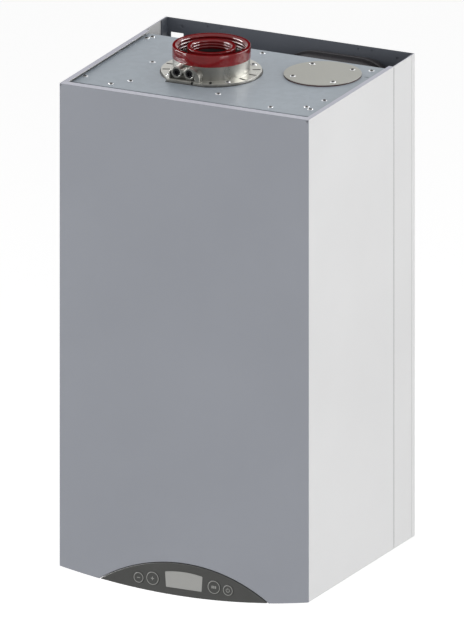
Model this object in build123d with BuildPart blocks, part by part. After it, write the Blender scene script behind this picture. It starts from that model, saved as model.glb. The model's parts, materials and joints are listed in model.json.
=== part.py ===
from build123d import *
import os
from math import cos, radians, sin

# A wall-hung combi boiler, in millimetres. X is to the right of someone who faces the boiler,
# the wall is the plane Y = 0, the front faces -Y, and Z = 0 is the lower edge of the side panels.

os.makedirs("parts", exist_ok=True)

# ---------------------------------------------------------------------------------------------
# Driving dimensions
# ---------------------------------------------------------------------------------------------

# Casing
casing_w = 410.0
casing_h = 750.0
casing_d = 360.0
frame_d = 70.0            # depth of the rear frame, from the wall to the seam
sheet = 1.2               # painted casing sheet
frame_sheet = 1.5         # sheet of the rear frame
seam = 0.5                # gap between two casing pieces
frame_seam = 1.2          # gap between a side panel and the rear frame
side_flange = 8.0         # top flange of a side panel
front_flange = 13.0       # top and bottom flanges of the front panel
rear_flange = 12.0        # rear flange of a side panel
bow = 19.75               # how far the front panel's lower edge bows down

# Control fascia, a lens between the bowed lower edge and an upper arc
lens_r = 250.0
lens_peak = 32.4
fascia_d = 14.0
fascia_wall = 2.5
fascia_proud = 1.0
lens_gap = 0.6            # dark gap between the fascia and the notch's upper arc
relief_hole_r = 1.3       # corner relief of the front panel's folds

# Back plate
slot_w = 21.0
slot_h = 16.0
slot_top = 728.0
slot_edge = 9.0           # from the casing's side to the slot
dimple_edge = 27.65       # from the casing's side to the outer pressed dimple
dimple_drop = 11.5
dimple_depth = 0.9
wall_hole_z = 60.0
wall_hole_r = 2.5
swage_w = 14.0            # stiffening grooves in the rear of the back plate
swage_depth = 0.7
swage_x = 130.0
swage_gap = (120.0, 130.0)
tongue_w = 300.0
tongue_drop = 12.0
cheek_flange = 30.0
joggle_y = 10.0           # from the wall to the cheek's joggle
joggle_w = 1.0
joggle_depth = 0.5
plate_flange = 20.0       # side flanges of the back plate

# Top panel
top_step = 5.0            # the panel lies this far below the casing's top edge
top_side_gap = 6.0        # from the casing's side to the panel
top_front = 30.0          # from the casing's front to the panel
top_rim = 8.0
screw_head_r = 2.6
screw_head_h = 1.6
screw_shank_r = 1.5
screw_l = 7.0
screw_gap = 0.3

# Flue adapter for a concentric 60/100 flue
flue_x = -33.4
flue_y = -198.0
air_duct_r = 50.0
gas_duct_r = 30.0
flange_r = 75.0
flange_t = 3.0
gasket_t = 1.0
collar_r = 57.5
collar_h = 21.0
outer_seal_h = 17.4
inner_seal_r = 36.35
inner_seal_h = 8.0
inner_tube_r = 34.5
port_r = 8.5
port_bore_r = 6.0
port_pitch = 20.5
port_offset = 13.35       # from the flue axis to the middle between the ports
flange_slots = 16
slot_ring = (60.0, 73.0)  # radii between which the flange's slots run
flange_slot_w = 4.0
flange_slot_turn = 2.0    # degrees from the X axis to the first slot
screw_slots = (2, 6, 10, 14)
port_rise = 11.0          # from the casing's top to the ports' axis
chord_y = 72.0            # from the flue axis to the flat front edge of the flange
plug_l = 14.0

# Blanking plate of the second duct
blank_side_gap = 84.0     # from the casing's side to the plate's axis
blank_y = -139.0
blank_r = 58.0
blank_t = 1.2
blank_gasket_t = 1.8
blank_pitch = 66.0
blank_hole_r = 42.0
tongue_slot_l = 8.0
tongue_slot_w = 2.0

# Chamber body
chamber_side_gap = 23.0   # from the casing's side to the chamber
chamber_front_gap = 34.0  # from the casing's front to the chamber
chamber_floor = 330.0
chamber_lip = 10.0
cover_t = 3.0
floor_gap = 1.0           # around a pipe that goes through the chamber floor

# Heat exchanger
drum_drop = 190.0         # from the casing's top to the drum's axis
drum_r = 110.0
door_gap = 8.8            # from the burner door's arm to the chamber cover
drum_wall = 4.0
drum_back_gap = 14.0
coil_turns = 9
coil_r = 88.0
burner_r = 35.0
burner_share = 0.65       # of the drum's length
door_r = 92.0
door_t = 8.0
arm_d = 24.0
water_x = (-90.0, 25.0)   # flow and return connections on the drum
water_stub_z = 425.0

# Fan
fan_side_gap = 62.0       # from the chamber's side to the fan's axis
fan_z = 410.0
fan_r = 56.0
fan_d = 40.0
fan_wall = 3.0
wheel_r = 44.0
wheel_t = 22.0
blades = 16
fan_shaft_r = 3.0
motor_r = 36.0
motor_l = 22.0
duct_w = 40.0
running_gap = 0.05

# Gas valve
gas_side_gap = 17.0       # from the chamber's side to the gas pipe
gas_y = -100.0
valve_z = 500.0
valve_size = (76.0, 78.0, 90.0)
transformer_size = (58.0, 36.0, 50.0)
transformer_drop = 110.0
gas_pipe_r = 9.0
gas_run_z = 288.0         # height of the gas pipe's crosswise run

# Hydraulics
bracket_z = 20.0
pipe_y = -160.0
pipe_pitch = 70.0
tail_drop = 35.0          # the pipe tails end this far below the casing's side panels
thread_34_r = 13.2        # outside of a 3/4 inch pipe thread
thread_12_r = 10.45       # outside of a 1/2 inch pipe thread
thread_l = 16.0
neck_step = 1.5           # a tail's neck is this much thinner than its thread
tail_bore_share = 0.62
water_pipe_r = 9.0
block_y = (-189.7, -130.0)
plates_z = (110.0, 185.0)
plates_y = (-240.0, -190.0)
plates_half = 95.0
pump_side_gap = 85.0      # from the casing's side to the pump's axis
pump_z = 235.0
pump_r = 46.0
pump_wheel_r = 28.0
pump_shaft_r = 4.0
pump_motor_l = 68.0
stem_r = 6.0
stem_stroke = 6.0
turbine_r = 6.6
turbine_l = 12.0
turbine_axle_r = 1.0
sensor_bore_r = 8.0
relief_z = 95.0           # axis of the safety valve
hose_run_z = 105.0
turbine_z = 70.0
tap_stem_r = 4.0

# Expansion vessel
vessel_side_gap = 10.0    # from the rear frame's side to the vessel
vessel_w = 203.0
vessel_h = 497.0
vessel_t = 56.0
vessel_top = 741.0
vessel_corner = 65.0
vessel_wall = 2.0

# Condensate trap
trap_y = -103.0
trap_r = 28.0
trap_z = (60.0, 250.0)
trap_tail_r = 10.5
spigot_l = 25.0

# Control box
box_w = 300.0
box_z = (-6.0, 90.0)
box_gap = 22.0            # from the control box to the plate exchanger
box_wall = 2.5

# ---------------------------------------------------------------------------------------------
# Values that follow from them
# ---------------------------------------------------------------------------------------------
half_w = casing_w / 2
front_y = -casing_d
seam_y = -frame_d
side_in = half_w - sheet
frame_in = half_w - frame_sheet
bow_r = (half_w ** 2 + bow ** 2) / (2 * bow)
bow_centre_z = bow_r - bow
lens_centre_z = lens_peak - lens_r
panel_back = front_y + sheet
fascia_back = front_y + fascia_d
top_z = casing_h - top_step
top_under = top_z - sheet
top_half = half_w - top_side_gap
adapter_z = top_z + gasket_t
port_z = casing_h + port_rise
drum_z = casing_h - drum_drop
transformer_z = casing_h - transformer_drop
blank_z = top_z + blank_gasket_t
collar_z = adapter_z + flange_t
outer_seal_z = collar_z + collar_h
inner_seal_z = outer_seal_z + outer_seal_h - inner_seal_h - 2.0
chamber_half = half_w - chamber_side_gap
chamber_front = front_y + chamber_front_gap
chamber_back = seam_y - sheet
chamber_base = chamber_floor + sheet
arm_front = chamber_front + door_gap
door_front = arm_front + arm_d
drum_front = door_front + door_t
drum_back = chamber_back - drum_back_gap
drum_l = drum_back - drum_front
burner_l = burner_share * drum_l
fan_x = chamber_half - fan_side_gap
fan_back = drum_front + 25.0
fan_front = fan_back - fan_d
box_back = plates_y[0] - box_gap
box_d = box_back - fascia_back
gas_x = chamber_half - gas_side_gap
pump_x = half_w - pump_side_gap
vessel_x = frame_in - vessel_side_gap - vessel_w / 2
blank_x = half_w - blank_side_gap
bracket_top = bracket_z + frame_sheet
pipe_x = [(i - 2) * pipe_pitch for i in range(5)]
flow_x, hot_x, gas_tail_x, cold_x, return_x = pipe_x
tap_x = (cold_x + return_x) / 2 + 2.0


# ---------------------------------------------------------------------------------------------
# Helpers that add simple shapes to the part that is being made
# ---------------------------------------------------------------------------------------------
def front_plane(y):
    """The plane at Y = y that faces the front: its x is X, its y is Z."""
    return Plane.XZ.offset(-y)


def block(low, high, mode=Mode.ADD):
    """A box between its lowest and highest corners."""
    size = [b - a for a, b in zip(low, high)]
    with Locations(tuple((a + b) / 2 for a, b in zip(low, high))):
        Box(*size, mode=mode)


def rod(start, direction, radius, length, mode=Mode.ADD):
    """A cylinder that starts at a point and runs along a direction."""
    with Locations(Plane(origin=start, z_dir=direction)):
        Cylinder(radius, length, align=(Align.CENTER, Align.CENTER, Align.MIN), mode=mode)


def ring(start, direction, radius, bore, length):
    """A straight tube."""
    rod(start, direction, radius, length)
    rod(start, direction, bore, length, mode=Mode.SUBTRACT)


def pipe_run(points, bend, radius, mode=Mode.ADD):
    """A solid round bar along straight runs with bends."""
    with BuildLine(mode=Mode.PRIVATE) as route:
        FilletPolyline(*points, radius=bend)
    first, second = Vector(*points[0]), Vector(*points[1])
    with BuildSketch(Plane(origin=first, z_dir=second - first), mode=Mode.PRIVATE) as section:
        Circle(radius)
    sweep(section.sketch, path=route.wire(), mode=mode)


UP = (0, 0, 1)
DOWN = (0, 0, -1)
TO_FRONT = (0, -1, 0)
TO_WALL = (0, 1, 0)
LEFT = (-1, 0, 0)


def tail(x, thread_r):
    """A pipe tail: a collar on the bracket, a neck through it, and the thread at the lower end."""
    rod((x, pipe_y, bracket_top), UP, thread_r + 4.0, 12.0)
    rod((x, pipe_y, bracket_top), DOWN, thread_r - neck_step, bracket_top + tail_drop)
    rod((x, pipe_y, -tail_drop), UP, thread_r, thread_l)


def tail_bore(x, thread_r, depth):
    """The water way of a pipe tail."""
    rod((x, pipe_y, -tail_drop - 1), UP, thread_r * tail_bore_share, depth, mode=Mode.SUBTRACT)


def save(builder, name):
    """Label a finished piece and write it to its own file."""
    builder.part.label = name
    export_step(builder.part, f"parts/{name}.step")


# ---------------------------------------------------------------------------------------------
# Rear frame
# ---------------------------------------------------------------------------------------------
# The back plate carries everything. Its tongue at the bottom stiffens the pipe bracket.
slot_x = half_w - slot_edge - slot_w / 2
wall_hole_x = half_w - dimple_edge
dimple_x = [-135.0, -113.0, 113.0, 135.0]
swage_z = (swage_gap[0], casing_h - swage_gap[1])
with BuildPart() as back_plate:
    with BuildSketch(front_plane(0)):
        with Locations((0, casing_h / 2)):
            Rectangle(2 * frame_in - seam, casing_h)
        with Locations((0, -tongue_drop / 2)):
            Rectangle(tongue_w, tongue_drop)
        with Locations((-slot_x, slot_top - slot_h / 2), (slot_x, slot_top - slot_h / 2)):
            Rectangle(slot_w, slot_h, mode=Mode.SUBTRACT)
        with Locations((-wall_hole_x, wall_hole_z), (wall_hole_x, wall_hole_z)):
            Circle(wall_hole_r, mode=Mode.SUBTRACT)
    extrude(amount=frame_sheet)
    # Pressed dimples join it to the top edges of the cheeks.
    with BuildSketch(front_plane(-frame_sheet)):
        with Locations((-wall_hole_x, casing_h - dimple_drop), (wall_hole_x, casing_h - dimple_drop)):
            Circle(2.3)
        with Locations([(x, casing_h - 5.5) for x in dimple_x]):
            Circle(1.6)
    extrude(amount=-dimple_depth, mode=Mode.SUBTRACT)
    # Two long grooves in its rear stiffen it.
    with BuildSketch(front_plane(0)):
        with Locations((-swage_x, sum(swage_z) / 2), (swage_x, sum(swage_z) / 2)):
            SlotOverall(swage_z[1] - swage_z[0], swage_w, rotation=90)
    extrude(amount=swage_depth, mode=Mode.SUBTRACT)
    for side in (-1, 1):
        edge = side * (frame_in - seam / 2)
        inner = edge - side * frame_sheet
        block((min(edge, inner), -plate_flange, 0), (max(edge, inner), -frame_sheet, casing_h))
save(back_plate, "back_plate")

# A cheek closes the side of the rear frame. Its outer face has a joggle 10 mm from the wall.
for side, name in ((-1, "frame_cheek_left"), (1, "frame_cheek_right")):
    with BuildPart() as cheek:
        outer = side * half_w
        inner = side * frame_in
        root = side * (frame_in - cheek_flange)
        block((min(outer, inner), seam_y, 0), (max(outer, inner), 0, casing_h))
        block((min(inner, root), seam_y, bracket_top),
              (max(inner, root), seam_y + frame_sheet, top_under - 8.0))
        groove = side * (half_w - joggle_depth)
        block((min(outer, groove), -joggle_y - joggle_w, 0), (max(outer, groove), -joggle_y, casing_h),
              mode=Mode.SUBTRACT)
    save(cheek, name)

# The bracket carries the hydraulic groups and has a hole for each pipe tail.
hole_gap = 1.5
bracket_front = box_back
with BuildPart() as bottom_bracket:
    block((-frame_in, bracket_front, bracket_z), (frame_in, -frame_sheet, bracket_top))
    block((-box_w / 2, bracket_front, 0), (box_w / 2, bracket_front + frame_sheet, bracket_top))
    for x in (flow_x, return_x, hot_x, gas_tail_x, cold_x):
        rod((x, pipe_y, bracket_z - 1), UP, thread_34_r + hole_gap, 4.0, mode=Mode.SUBTRACT)
    rod((tap_x, pipe_y, bracket_z - 1), UP, tap_stem_r + hole_gap, 4.0, mode=Mode.SUBTRACT)
    rod((flue_x, trap_y, bracket_z - 1), UP, trap_tail_r + hole_gap, 4.0, mode=Mode.SUBTRACT)
    for side in (-1, 1):
        low, high = sorted((side * (frame_in - frame_sheet - seam), side * half_w))
        block((low, -plate_flange - seam, bracket_z - 1), (high, 0, bracket_top + 1), mode=Mode.SUBTRACT)
        low, high = sorted((side * (side_in - rear_flange - seam), side * half_w))
        block((low, seam_y - sheet - 1.5, bracket_z - 1), (high, seam_y, bracket_top + 1),
              mode=Mode.SUBTRACT)
save(bottom_bracket, "bottom_bracket")

# ---------------------------------------------------------------------------------------------
# Painted casing
# ---------------------------------------------------------------------------------------------
for side, name in ((-1, "side_panel_left"), (1, "side_panel_right")):
    with BuildPart() as side_panel:
        outer = side * half_w
        inner = side * side_in
        lip = side * (half_w - side_flange)
        rear_lip = side * (side_in - rear_flange)
        start = panel_back + 0.3
        end = seam_y - frame_seam
        block((min(outer, inner), start, 0), (max(outer, inner), end, casing_h))
        block((min(outer, lip), front_y + front_flange + seam, casing_h - sheet),
              (max(outer, lip), end, casing_h))
        lip_top = top_z - top_rim - 1.0
        block((min(inner, rear_lip), end - sheet, 0), (max(inner, rear_lip), end, lip_top))
        block((min(inner, rear_lip), -frame_d - 60.0, 0), (max(inner, rear_lip), end, sheet))
    save(side_panel, name)

# The front panel is one folded sheet. The fascia shows through the notch in its lower edge.
return_out = side_in - 0.3
with BuildPart() as front_panel:
    with BuildSketch(front_plane(panel_back)):
        with BuildLine():
            Polyline((-half_w, 0), (-half_w, casing_h), (half_w, casing_h), (half_w, 0))
            ThreePointArc((half_w, 0), (0, -bow), (-half_w, 0))
        make_face()
        with Locations((0, lens_centre_z)):
            Circle(lens_r, mode=Mode.SUBTRACT)
    extrude(amount=sheet)
    with BuildSketch(front_plane(panel_back + front_flange - sheet)):
        with BuildLine():
            Polyline((-return_out, 0), (-return_out, casing_h), (return_out, casing_h), (return_out, 0))
            ThreePointArc((return_out, 0), (0, -bow), (-return_out, 0))
        make_face()
        with BuildLine():
            inner_side = return_out - sheet
            Polyline((-inner_side, sheet), (-inner_side, casing_h - sheet), (inner_side, casing_h - sheet),
                     (inner_side, sheet))
            ThreePointArc((inner_side, sheet), (0, sheet - bow), (-inner_side, sheet))
        make_face(mode=Mode.SUBTRACT)
        with Locations((0, lens_centre_z)):
            Circle(lens_r, mode=Mode.SUBTRACT)
    extrude(amount=front_flange - sheet)
    upright = front_panel.edges().filter_by(Axis.Z).filter_by_position(Axis.Y, front_y - 0.1, front_y + 0.1)
    fillet(upright, radius=sheet * 0.8)
    # A small hole ends the folds at each upper corner.
    for side in (-1, 1):
        rod((side * (half_w - 2.2), front_y - 1, casing_h - 2.8), TO_WALL, relief_hole_r, sheet + 1.5,
            mode=Mode.SUBTRACT)
save(front_panel, "front_panel")

# Screws of the top panel: by how far they are from the casing's left or right side, or by their share of
# its width.
left_screws = [(11.9, front_y + 62.0), (13.9, seam_y - 23.0), (18.9, seam_y - 14.0)]
right_screws = [
    (36.9, front_y + 70.0), (27.1, front_y + 62.0), (27.1, front_y + 110.0), (27.1, seam_y - 20.0),
]
middle_screws = [
    (0.154, front_y + 45.0), (0.202, front_y + 70.0), (0.555, front_y + 70.0), (0.793, front_y + 46.0),
    (0.176, seam_y - 124.0), (0.488, seam_y - 14.0),
]
screw_points = [(gap - half_w, y) for gap, y in left_screws]
screw_points += [(half_w - gap, y) for gap, y in right_screws]
screw_points += [(share * casing_w - half_w, y) for share, y in middle_screws]
blank_screws = [
    (blank_x + i * blank_pitch / 2, blank_y + j * blank_pitch / 2) for i in (-1, 1) for j in (-1, 1)
]
flange_screw_r = 66.5
flange_screws = [
    (flue_x + flange_screw_r * cos(radians(a)), flue_y + flange_screw_r * sin(radians(a)))
    for a in (flange_slot_turn + i * 360 / flange_slots for i in screw_slots)
]
with BuildPart() as top_panel:
    block((-top_half, front_y + top_front, top_under), (top_half, seam_y - 1.0, top_z))
    block((-top_half, front_y + top_front, top_z - top_rim), (-top_half + sheet, seam_y - 1.0, top_under))
    block((top_half - sheet, front_y + top_front, top_z - top_rim), (top_half, seam_y - 1.0, top_under))
    with Locations(*[(x, y, top_z) for x, y in screw_points + blank_screws + flange_screws]):
        Hole(screw_shank_r + screw_gap, depth=2 * sheet)
    with Locations((flue_x, flue_y, top_z)):
        Hole(air_duct_r, depth=2 * sheet)
    with Locations((blank_x, blank_y, top_z)):
        Hole(blank_hole_r, depth=2 * sheet)
    # A short slot beside the blanking plate takes the tongue of a second duct.
    slot_start = blank_x + blank_r + 1.0
    slot_y = blank_y + 17.0
    block((slot_start, slot_y, top_under - 1),
          (slot_start + tongue_slot_l, slot_y + tongue_slot_w, top_z + 1), mode=Mode.SUBTRACT)
save(top_panel, "top_panel")

# All sheet screws are alike: a pan head with a cross recess.
with BuildPart() as sheet_screws:
    seats = [(x, y, top_z) for x, y in screw_points]
    seats += [(x, y, blank_z + blank_t) for x, y in blank_screws]
    seats += [(x, y, collar_z) for x, y in flange_screws]
    for seat in seats:
        rod(seat, UP, screw_head_r, screw_head_h)
        rod(seat, DOWN, screw_shank_r, screw_l)
    heads = sheet_screws.edges().filter_by(GeomType.CIRCLE).filter_by(lambda e: e.radius > screw_head_r - 0.1)
    tops = [e for e in heads if min(abs(e.center().Z - s[2] - screw_head_h) for s in seats) < 0.01]
    fillet(tops, radius=0.6)
    for x, y, z in seats:
        with Locations((x, y, z + screw_head_h)):
            Box(2.6, 0.6, 1.2, mode=Mode.SUBTRACT)
            Box(0.6, 2.6, 1.2, mode=Mode.SUBTRACT)
save(sheet_screws, "sheet_screws")

# ---------------------------------------------------------------------------------------------
# Flue adapter
# ---------------------------------------------------------------------------------------------
port_x = [flue_x - port_offset - port_pitch / 2, flue_x - port_offset + port_pitch / 2]
chord_front = flue_y - chord_y
port_front = chord_front + 2.0
housing_x = (port_x[0] - 13.0, port_x[1] + 16.5)
housing_front = port_front + 0.5
housing_back = flue_y - air_duct_r
housing_top = port_z + 5.0
shoulder_top = port_z + port_r
collar_bore_r = air_duct_r + 1.0
web_t = 4.0
with BuildPart() as flue_adapter:
    rod((flue_x, flue_y, adapter_z), UP, flange_r, flange_t)
    block((housing_x[0] - 3.0, chord_front, adapter_z), (housing_x[1], flue_y - air_duct_r, collar_z))
    # The flange is cut straight in front of the flue, where the two sampling ports stand.
    block((flue_x - flange_r, flue_y - flange_r - 20, adapter_z - 1),
          (flue_x + flange_r, chord_front, collar_z + 1), mode=Mode.SUBTRACT)
    with BuildSketch(Plane.XY.offset(collar_z)):
        with Locations((flue_x, flue_y)):
            with PolarLocations(sum(slot_ring) / 2, flange_slots, start_angle=flange_slot_turn):
                SlotOverall(slot_ring[1] - slot_ring[0], flange_slot_w)
    extrude(amount=-flange_t, mode=Mode.SUBTRACT)
    rod((flue_x, flue_y, collar_z), UP, collar_r, collar_h)
    # The housing is hollow below the ports. A rounded shoulder leads from the right port to the flange.
    with BuildSketch(front_plane(housing_back)):
        with Locations(((housing_x[0] + port_x[1]) / 2, (collar_z + housing_top) / 2)):
            shell = Rectangle(port_x[1] - housing_x[0], housing_top - collar_z)
        fillet(shell.vertices().group_by(Axis.Y)[-1].sort_by(Axis.X)[0], radius=9.0)
        with Locations(((port_x[1] + housing_x[1]) / 2, (collar_z + shoulder_top) / 2)):
            Rectangle(housing_x[1] - port_x[1], shoulder_top - collar_z)
        fillet(vertices().sort_by(Axis.X)[-2:].sort_by(Axis.Y)[-1], radius=16.0)
    extrude(amount=housing_back - housing_front)
    block((housing_x[0] + 2.0, housing_front - 1, collar_z + 1.0),
          (port_x[1] + port_r, housing_front + 12.0, port_z), mode=Mode.SUBTRACT)
    rod((flue_x, flue_y, outer_seal_z), UP, collar_r + 1.25, 10.0, mode=Mode.SUBTRACT)
    for x in port_x:
        rod((x, port_front, port_z), TO_WALL, port_r, flue_y - port_front - collar_bore_r + 10.0)
    rod((flue_x, flue_y, outer_seal_z), UP, collar_r + 1.25, 10.0, mode=Mode.SUBTRACT)
    rod((flue_x, flue_y, adapter_z - 1), UP, collar_bore_r, 50, mode=Mode.SUBTRACT)
    for x in port_x:
        rod((x, port_front, port_z), TO_WALL, port_bore_r, 22.0, mode=Mode.SUBTRACT)
    for x, y in flange_screws:
        rod((x, y, adapter_z - 1), UP, screw_shank_r + screw_gap, 10.0, mode=Mode.SUBTRACT)
        rod((x, y, collar_z), UP, screw_head_r + 1.0, 5.0, mode=Mode.SUBTRACT)
    # Three webs keep the inner flue tube in the middle.
    web_mid = (collar_bore_r + inner_tube_r + 0.3) / 2
    web_l = collar_bore_r - inner_tube_r - 0.3 + 0.5
    with BuildSketch(Plane.XY.offset(collar_z)):
        with Locations((flue_x, flue_y)):
            with PolarLocations(web_mid, 3, start_angle=90):
                Rectangle(web_l, web_t)
    extrude(amount=8.0)
save(flue_adapter, "flue_adapter")

with BuildPart() as flue_gasket:
    rod((flue_x, flue_y, top_z), UP, flange_r + 1.5, gasket_t)
    block((housing_x[0] - 4.0, chord_front - 1.0, top_z), (housing_x[1] + 2.0, flue_y, adapter_z))
    block((flue_x - flange_r, flue_y - flange_r - 20, top_z - 1),
          (flue_x + flange_r, chord_front - 1.0, adapter_z + 1), mode=Mode.SUBTRACT)
    rod((flue_x, flue_y, top_z - 1), UP, collar_bore_r, 5.0, mode=Mode.SUBTRACT)
    for x, y in flange_screws:
        rod((x, y, top_z - 1), UP, screw_shank_r + screw_gap, 5.0, mode=Mode.SUBTRACT)
save(flue_gasket, "flue_gasket")

with BuildPart() as blanking_gasket:
    rod((blank_x, blank_y, top_z), UP, blank_r - 0.3, blank_gasket_t)
    rod((blank_x, blank_y, top_z - 1), UP, blank_hole_r, 5.0, mode=Mode.SUBTRACT)
    for x, y in blank_screws:
        rod((x, y, top_z - 1), UP, screw_shank_r + screw_gap, 5.0, mode=Mode.SUBTRACT)
save(blanking_gasket, "blanking_gasket")

# The outer seal sits on the collar and grips the air duct.
seal_edge = 1.5
with BuildPart() as flue_seal_outer:
    ring((flue_x, flue_y, outer_seal_z), UP, collar_r + 0.75, air_duct_r, outer_seal_h)
    chamfer(flue_seal_outer.edges().group_by(Axis.Z)[-1], length=seal_edge)
save(flue_seal_outer, "flue_seal_outer")

with BuildPart() as flue_seal_inner:
    ring((flue_x, flue_y, inner_seal_z), UP, inner_seal_r, gas_duct_r, inner_seal_h)
    chamfer(flue_seal_inner.edges().group_by(Axis.Z)[-1], length=1.0)
save(flue_seal_inner, "flue_seal_inner")

drum_collar_z = drum_z + drum_r + 18.0
with BuildPart() as inner_flue_tube:
    ring((flue_x, flue_y, drum_collar_z), UP, inner_tube_r, gas_duct_r + 0.6, inner_seal_z - drum_collar_z)
save(inner_flue_tube, "inner_flue_tube")

for x, name in zip(port_x, ("sampling_plug_left", "sampling_plug_right")):
    with BuildPart() as plug:
        rod((x, port_front, port_z), TO_WALL, port_bore_r - running_gap, plug_l)
        chamfer(plug.edges().group_by(Axis.Y)[0], length=0.6)
        rod((x, port_front, port_z), TO_WALL, 3.4, 5.0, mode=Mode.SUBTRACT)
        block((x - 0.8, port_front + 2.0, port_z - 3.6), (x + 0.8, port_front + 5.0, port_z + 3.6))
    save(plug, name)

with BuildPart() as blanking_plate:
    rod((blank_x, blank_y, blank_z), UP, blank_r, blank_t)
    fillet(blanking_plate.edges().group_by(Axis.Z)[-1], radius=blank_t / 2)
    for x, y in blank_screws:
        rod((x, y, top_z), UP, screw_shank_r + screw_gap, 5.0, mode=Mode.SUBTRACT)
save(blanking_plate, "blanking_plate")

# ---------------------------------------------------------------------------------------------
# Chamber body: a sheet box, open at the front, that the top panel and the cover close
# ---------------------------------------------------------------------------------------------
with BuildPart() as chamber_body:
    block((-chamber_half, chamber_front, chamber_floor), (chamber_half, seam_y, top_under))
    inside = chamber_half - sheet
    block((-inside, chamber_front - 1, chamber_base), (inside, chamber_back, top_under + 1),
          mode=Mode.SUBTRACT)
    for side in (-1, 1):
        low, high = sorted((side * (inside - chamber_lip), side * inside))
        block((low, chamber_front, chamber_base), (high, chamber_front + sheet, top_under))
    block((-inside, chamber_front, chamber_base),
          (inside, chamber_front + sheet, chamber_base + chamber_lip))
    for x in water_x:
        rod((x, pipe_y, chamber_floor - 1), UP, water_pipe_r + 2.0 + floor_gap, 5.0, mode=Mode.SUBTRACT)
    rod((gas_x, gas_y, chamber_floor - 1), UP, gas_pipe_r + floor_gap, 5.0, mode=Mode.SUBTRACT)
    rod((flue_x, trap_y, chamber_floor - 1), UP, trap_tail_r + floor_gap, 5.0, mode=Mode.SUBTRACT)
save(chamber_body, "chamber_body")

with BuildPart() as chamber_cover:
    block((-chamber_half, chamber_front - cover_t, chamber_floor),
          (chamber_half, chamber_front, top_under - 1.0))
    block((-chamber_half + 14, chamber_front - sheet, chamber_floor + 14),
          (chamber_half - 14, chamber_front + 1, top_under - 15.0), mode=Mode.SUBTRACT)
    fillet(chamber_cover.edges().filter_by(Axis.Y).group_by(SortBy.LENGTH)[-1], radius=4.0)
save(chamber_cover, "chamber_cover")

# ---------------------------------------------------------------------------------------------
# Heat exchanger and burner
# ---------------------------------------------------------------------------------------------
drum_bore = drum_r - drum_wall
stub_r = water_pipe_r + 2.0
with BuildPart() as exchanger_drum:
    rod((flue_x, drum_back, drum_z), TO_FRONT, drum_r, drum_l)
    rod((flue_x, drum_front, drum_z), TO_WALL, drum_r + 8.0, 6.0)
    rod((flue_x, drum_back, drum_z), TO_FRONT, drum_r + 3.0, 4.0)
    rod((flue_x, flue_y, drum_z), UP, inner_tube_r + 4.0, drum_r + 25.0)
    for x in water_x:
        rod((x, pipe_y, water_stub_z), UP, stub_r, drum_z - water_stub_z)
    rod((flue_x, trap_y, water_stub_z), UP, trap_tail_r, drum_z - water_stub_z)
    rod((flue_x, drum_back - drum_wall, drum_z), TO_FRONT, drum_bore, drum_l, mode=Mode.SUBTRACT)
    rod((flue_x, flue_y, drum_z), UP, gas_duct_r + 0.6, drum_r + 30.0, mode=Mode.SUBTRACT)
    rod((flue_x, flue_y, drum_collar_z), UP, inner_tube_r + 0.3, 20.0, mode=Mode.SUBTRACT)
    for x in water_x:
        rod((x, pipe_y, water_stub_z - 1), UP, water_pipe_r + 0.3, 16.0, mode=Mode.SUBTRACT)
    rod((flue_x, trap_y, water_stub_z - 1), UP, trap_tail_r - 2.0, drum_z - water_stub_z,
        mode=Mode.SUBTRACT)
    with Locations(Plane(origin=(flue_x, chamber_back, drum_z), z_dir=TO_FRONT)):
        with PolarLocations(drum_r - 20.0, 4, start_angle=45):
            Cylinder(9.0, drum_back_gap, align=(Align.CENTER, Align.CENTER, Align.MIN))
save(exchanger_drum, "exchanger_drum")

# The coil is a stack of flattened steel turns.
coil_l = drum_l - 45.0
turn_pitch = coil_l / coil_turns
coil_start = drum_back - drum_wall - 0.3
with BuildPart() as exchanger_coil:
    for i in range(coil_turns):
        ring((flue_x, coil_start - i * turn_pitch, drum_z), TO_FRONT, coil_r, coil_r - 16.0,
             turn_pitch - 2.0)
    ring((flue_x, coil_start, drum_z), TO_FRONT, coil_r - 5.0, coil_r - 11.0, coil_l - 2.0)
save(exchanger_coil, "exchanger_coil")

with BuildPart() as burner_tube:
    ring((flue_x, drum_front, drum_z), TO_WALL, burner_r, burner_r - 1.5, burner_l)
    rod((flue_x, drum_front + burner_l - 2.0, drum_z), TO_WALL, burner_r, 2.0)
    ring((flue_x, drum_front, drum_z), TO_WALL, burner_r + 12.0, burner_r - 1.5, 2.0)
save(burner_tube, "burner_tube")

# The burner door closes the drum. Its arm leads the mixture from the fan to the burner.
arm_x = fan_x + 35.0
arm_z = fan_z + 70.0
arm_half = duct_w / 2
electrode_x = flue_x - 52.0
electrode_z = drum_z + 34.0
with BuildPart() as burner_door:
    rod((flue_x, drum_front, drum_z), TO_FRONT, door_r, door_t)
    rod((flue_x, door_front, drum_z), TO_FRONT, burner_r + 8.0, arm_d)
    block((flue_x, arm_front, drum_z - arm_half), (arm_x + arm_half, door_front, drum_z + arm_half))
    block((arm_x - arm_half, arm_front, arm_z), (arm_x + arm_half, fan_back, drum_z + arm_half))
    fillet(burner_door.edges().filter_by(Axis.Y).sort_by(Axis.X)[-1:], radius=12.0)
    rod((flue_x, drum_front + 1, drum_z), TO_FRONT, burner_r - 2.0, door_t + arm_d - 3.0,
        mode=Mode.SUBTRACT)
    block((flue_x, arm_front + 4, drum_z - arm_half + 4),
          (arm_x + arm_half - 4, door_front - 4, drum_z + arm_half - 4),
          mode=Mode.SUBTRACT)
    block((arm_x - arm_half + 4, arm_front + 4, arm_z - 1),
          (arm_x + arm_half - 4, fan_back - 4, drum_z + arm_half - 4),
          mode=Mode.SUBTRACT)
    with Locations(Plane(origin=(flue_x, door_front, drum_z), z_dir=TO_FRONT)):
        with PolarLocations(door_r - 9.0, 6, start_angle=30):
            Cylinder(5.0, 6.0, align=(Align.CENTER, Align.CENTER, Align.MIN))
    rod((electrode_x, door_front - 1, electrode_z), TO_WALL, 7.3, 20.0, mode=Mode.SUBTRACT)
save(burner_door, "burner_door")

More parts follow.
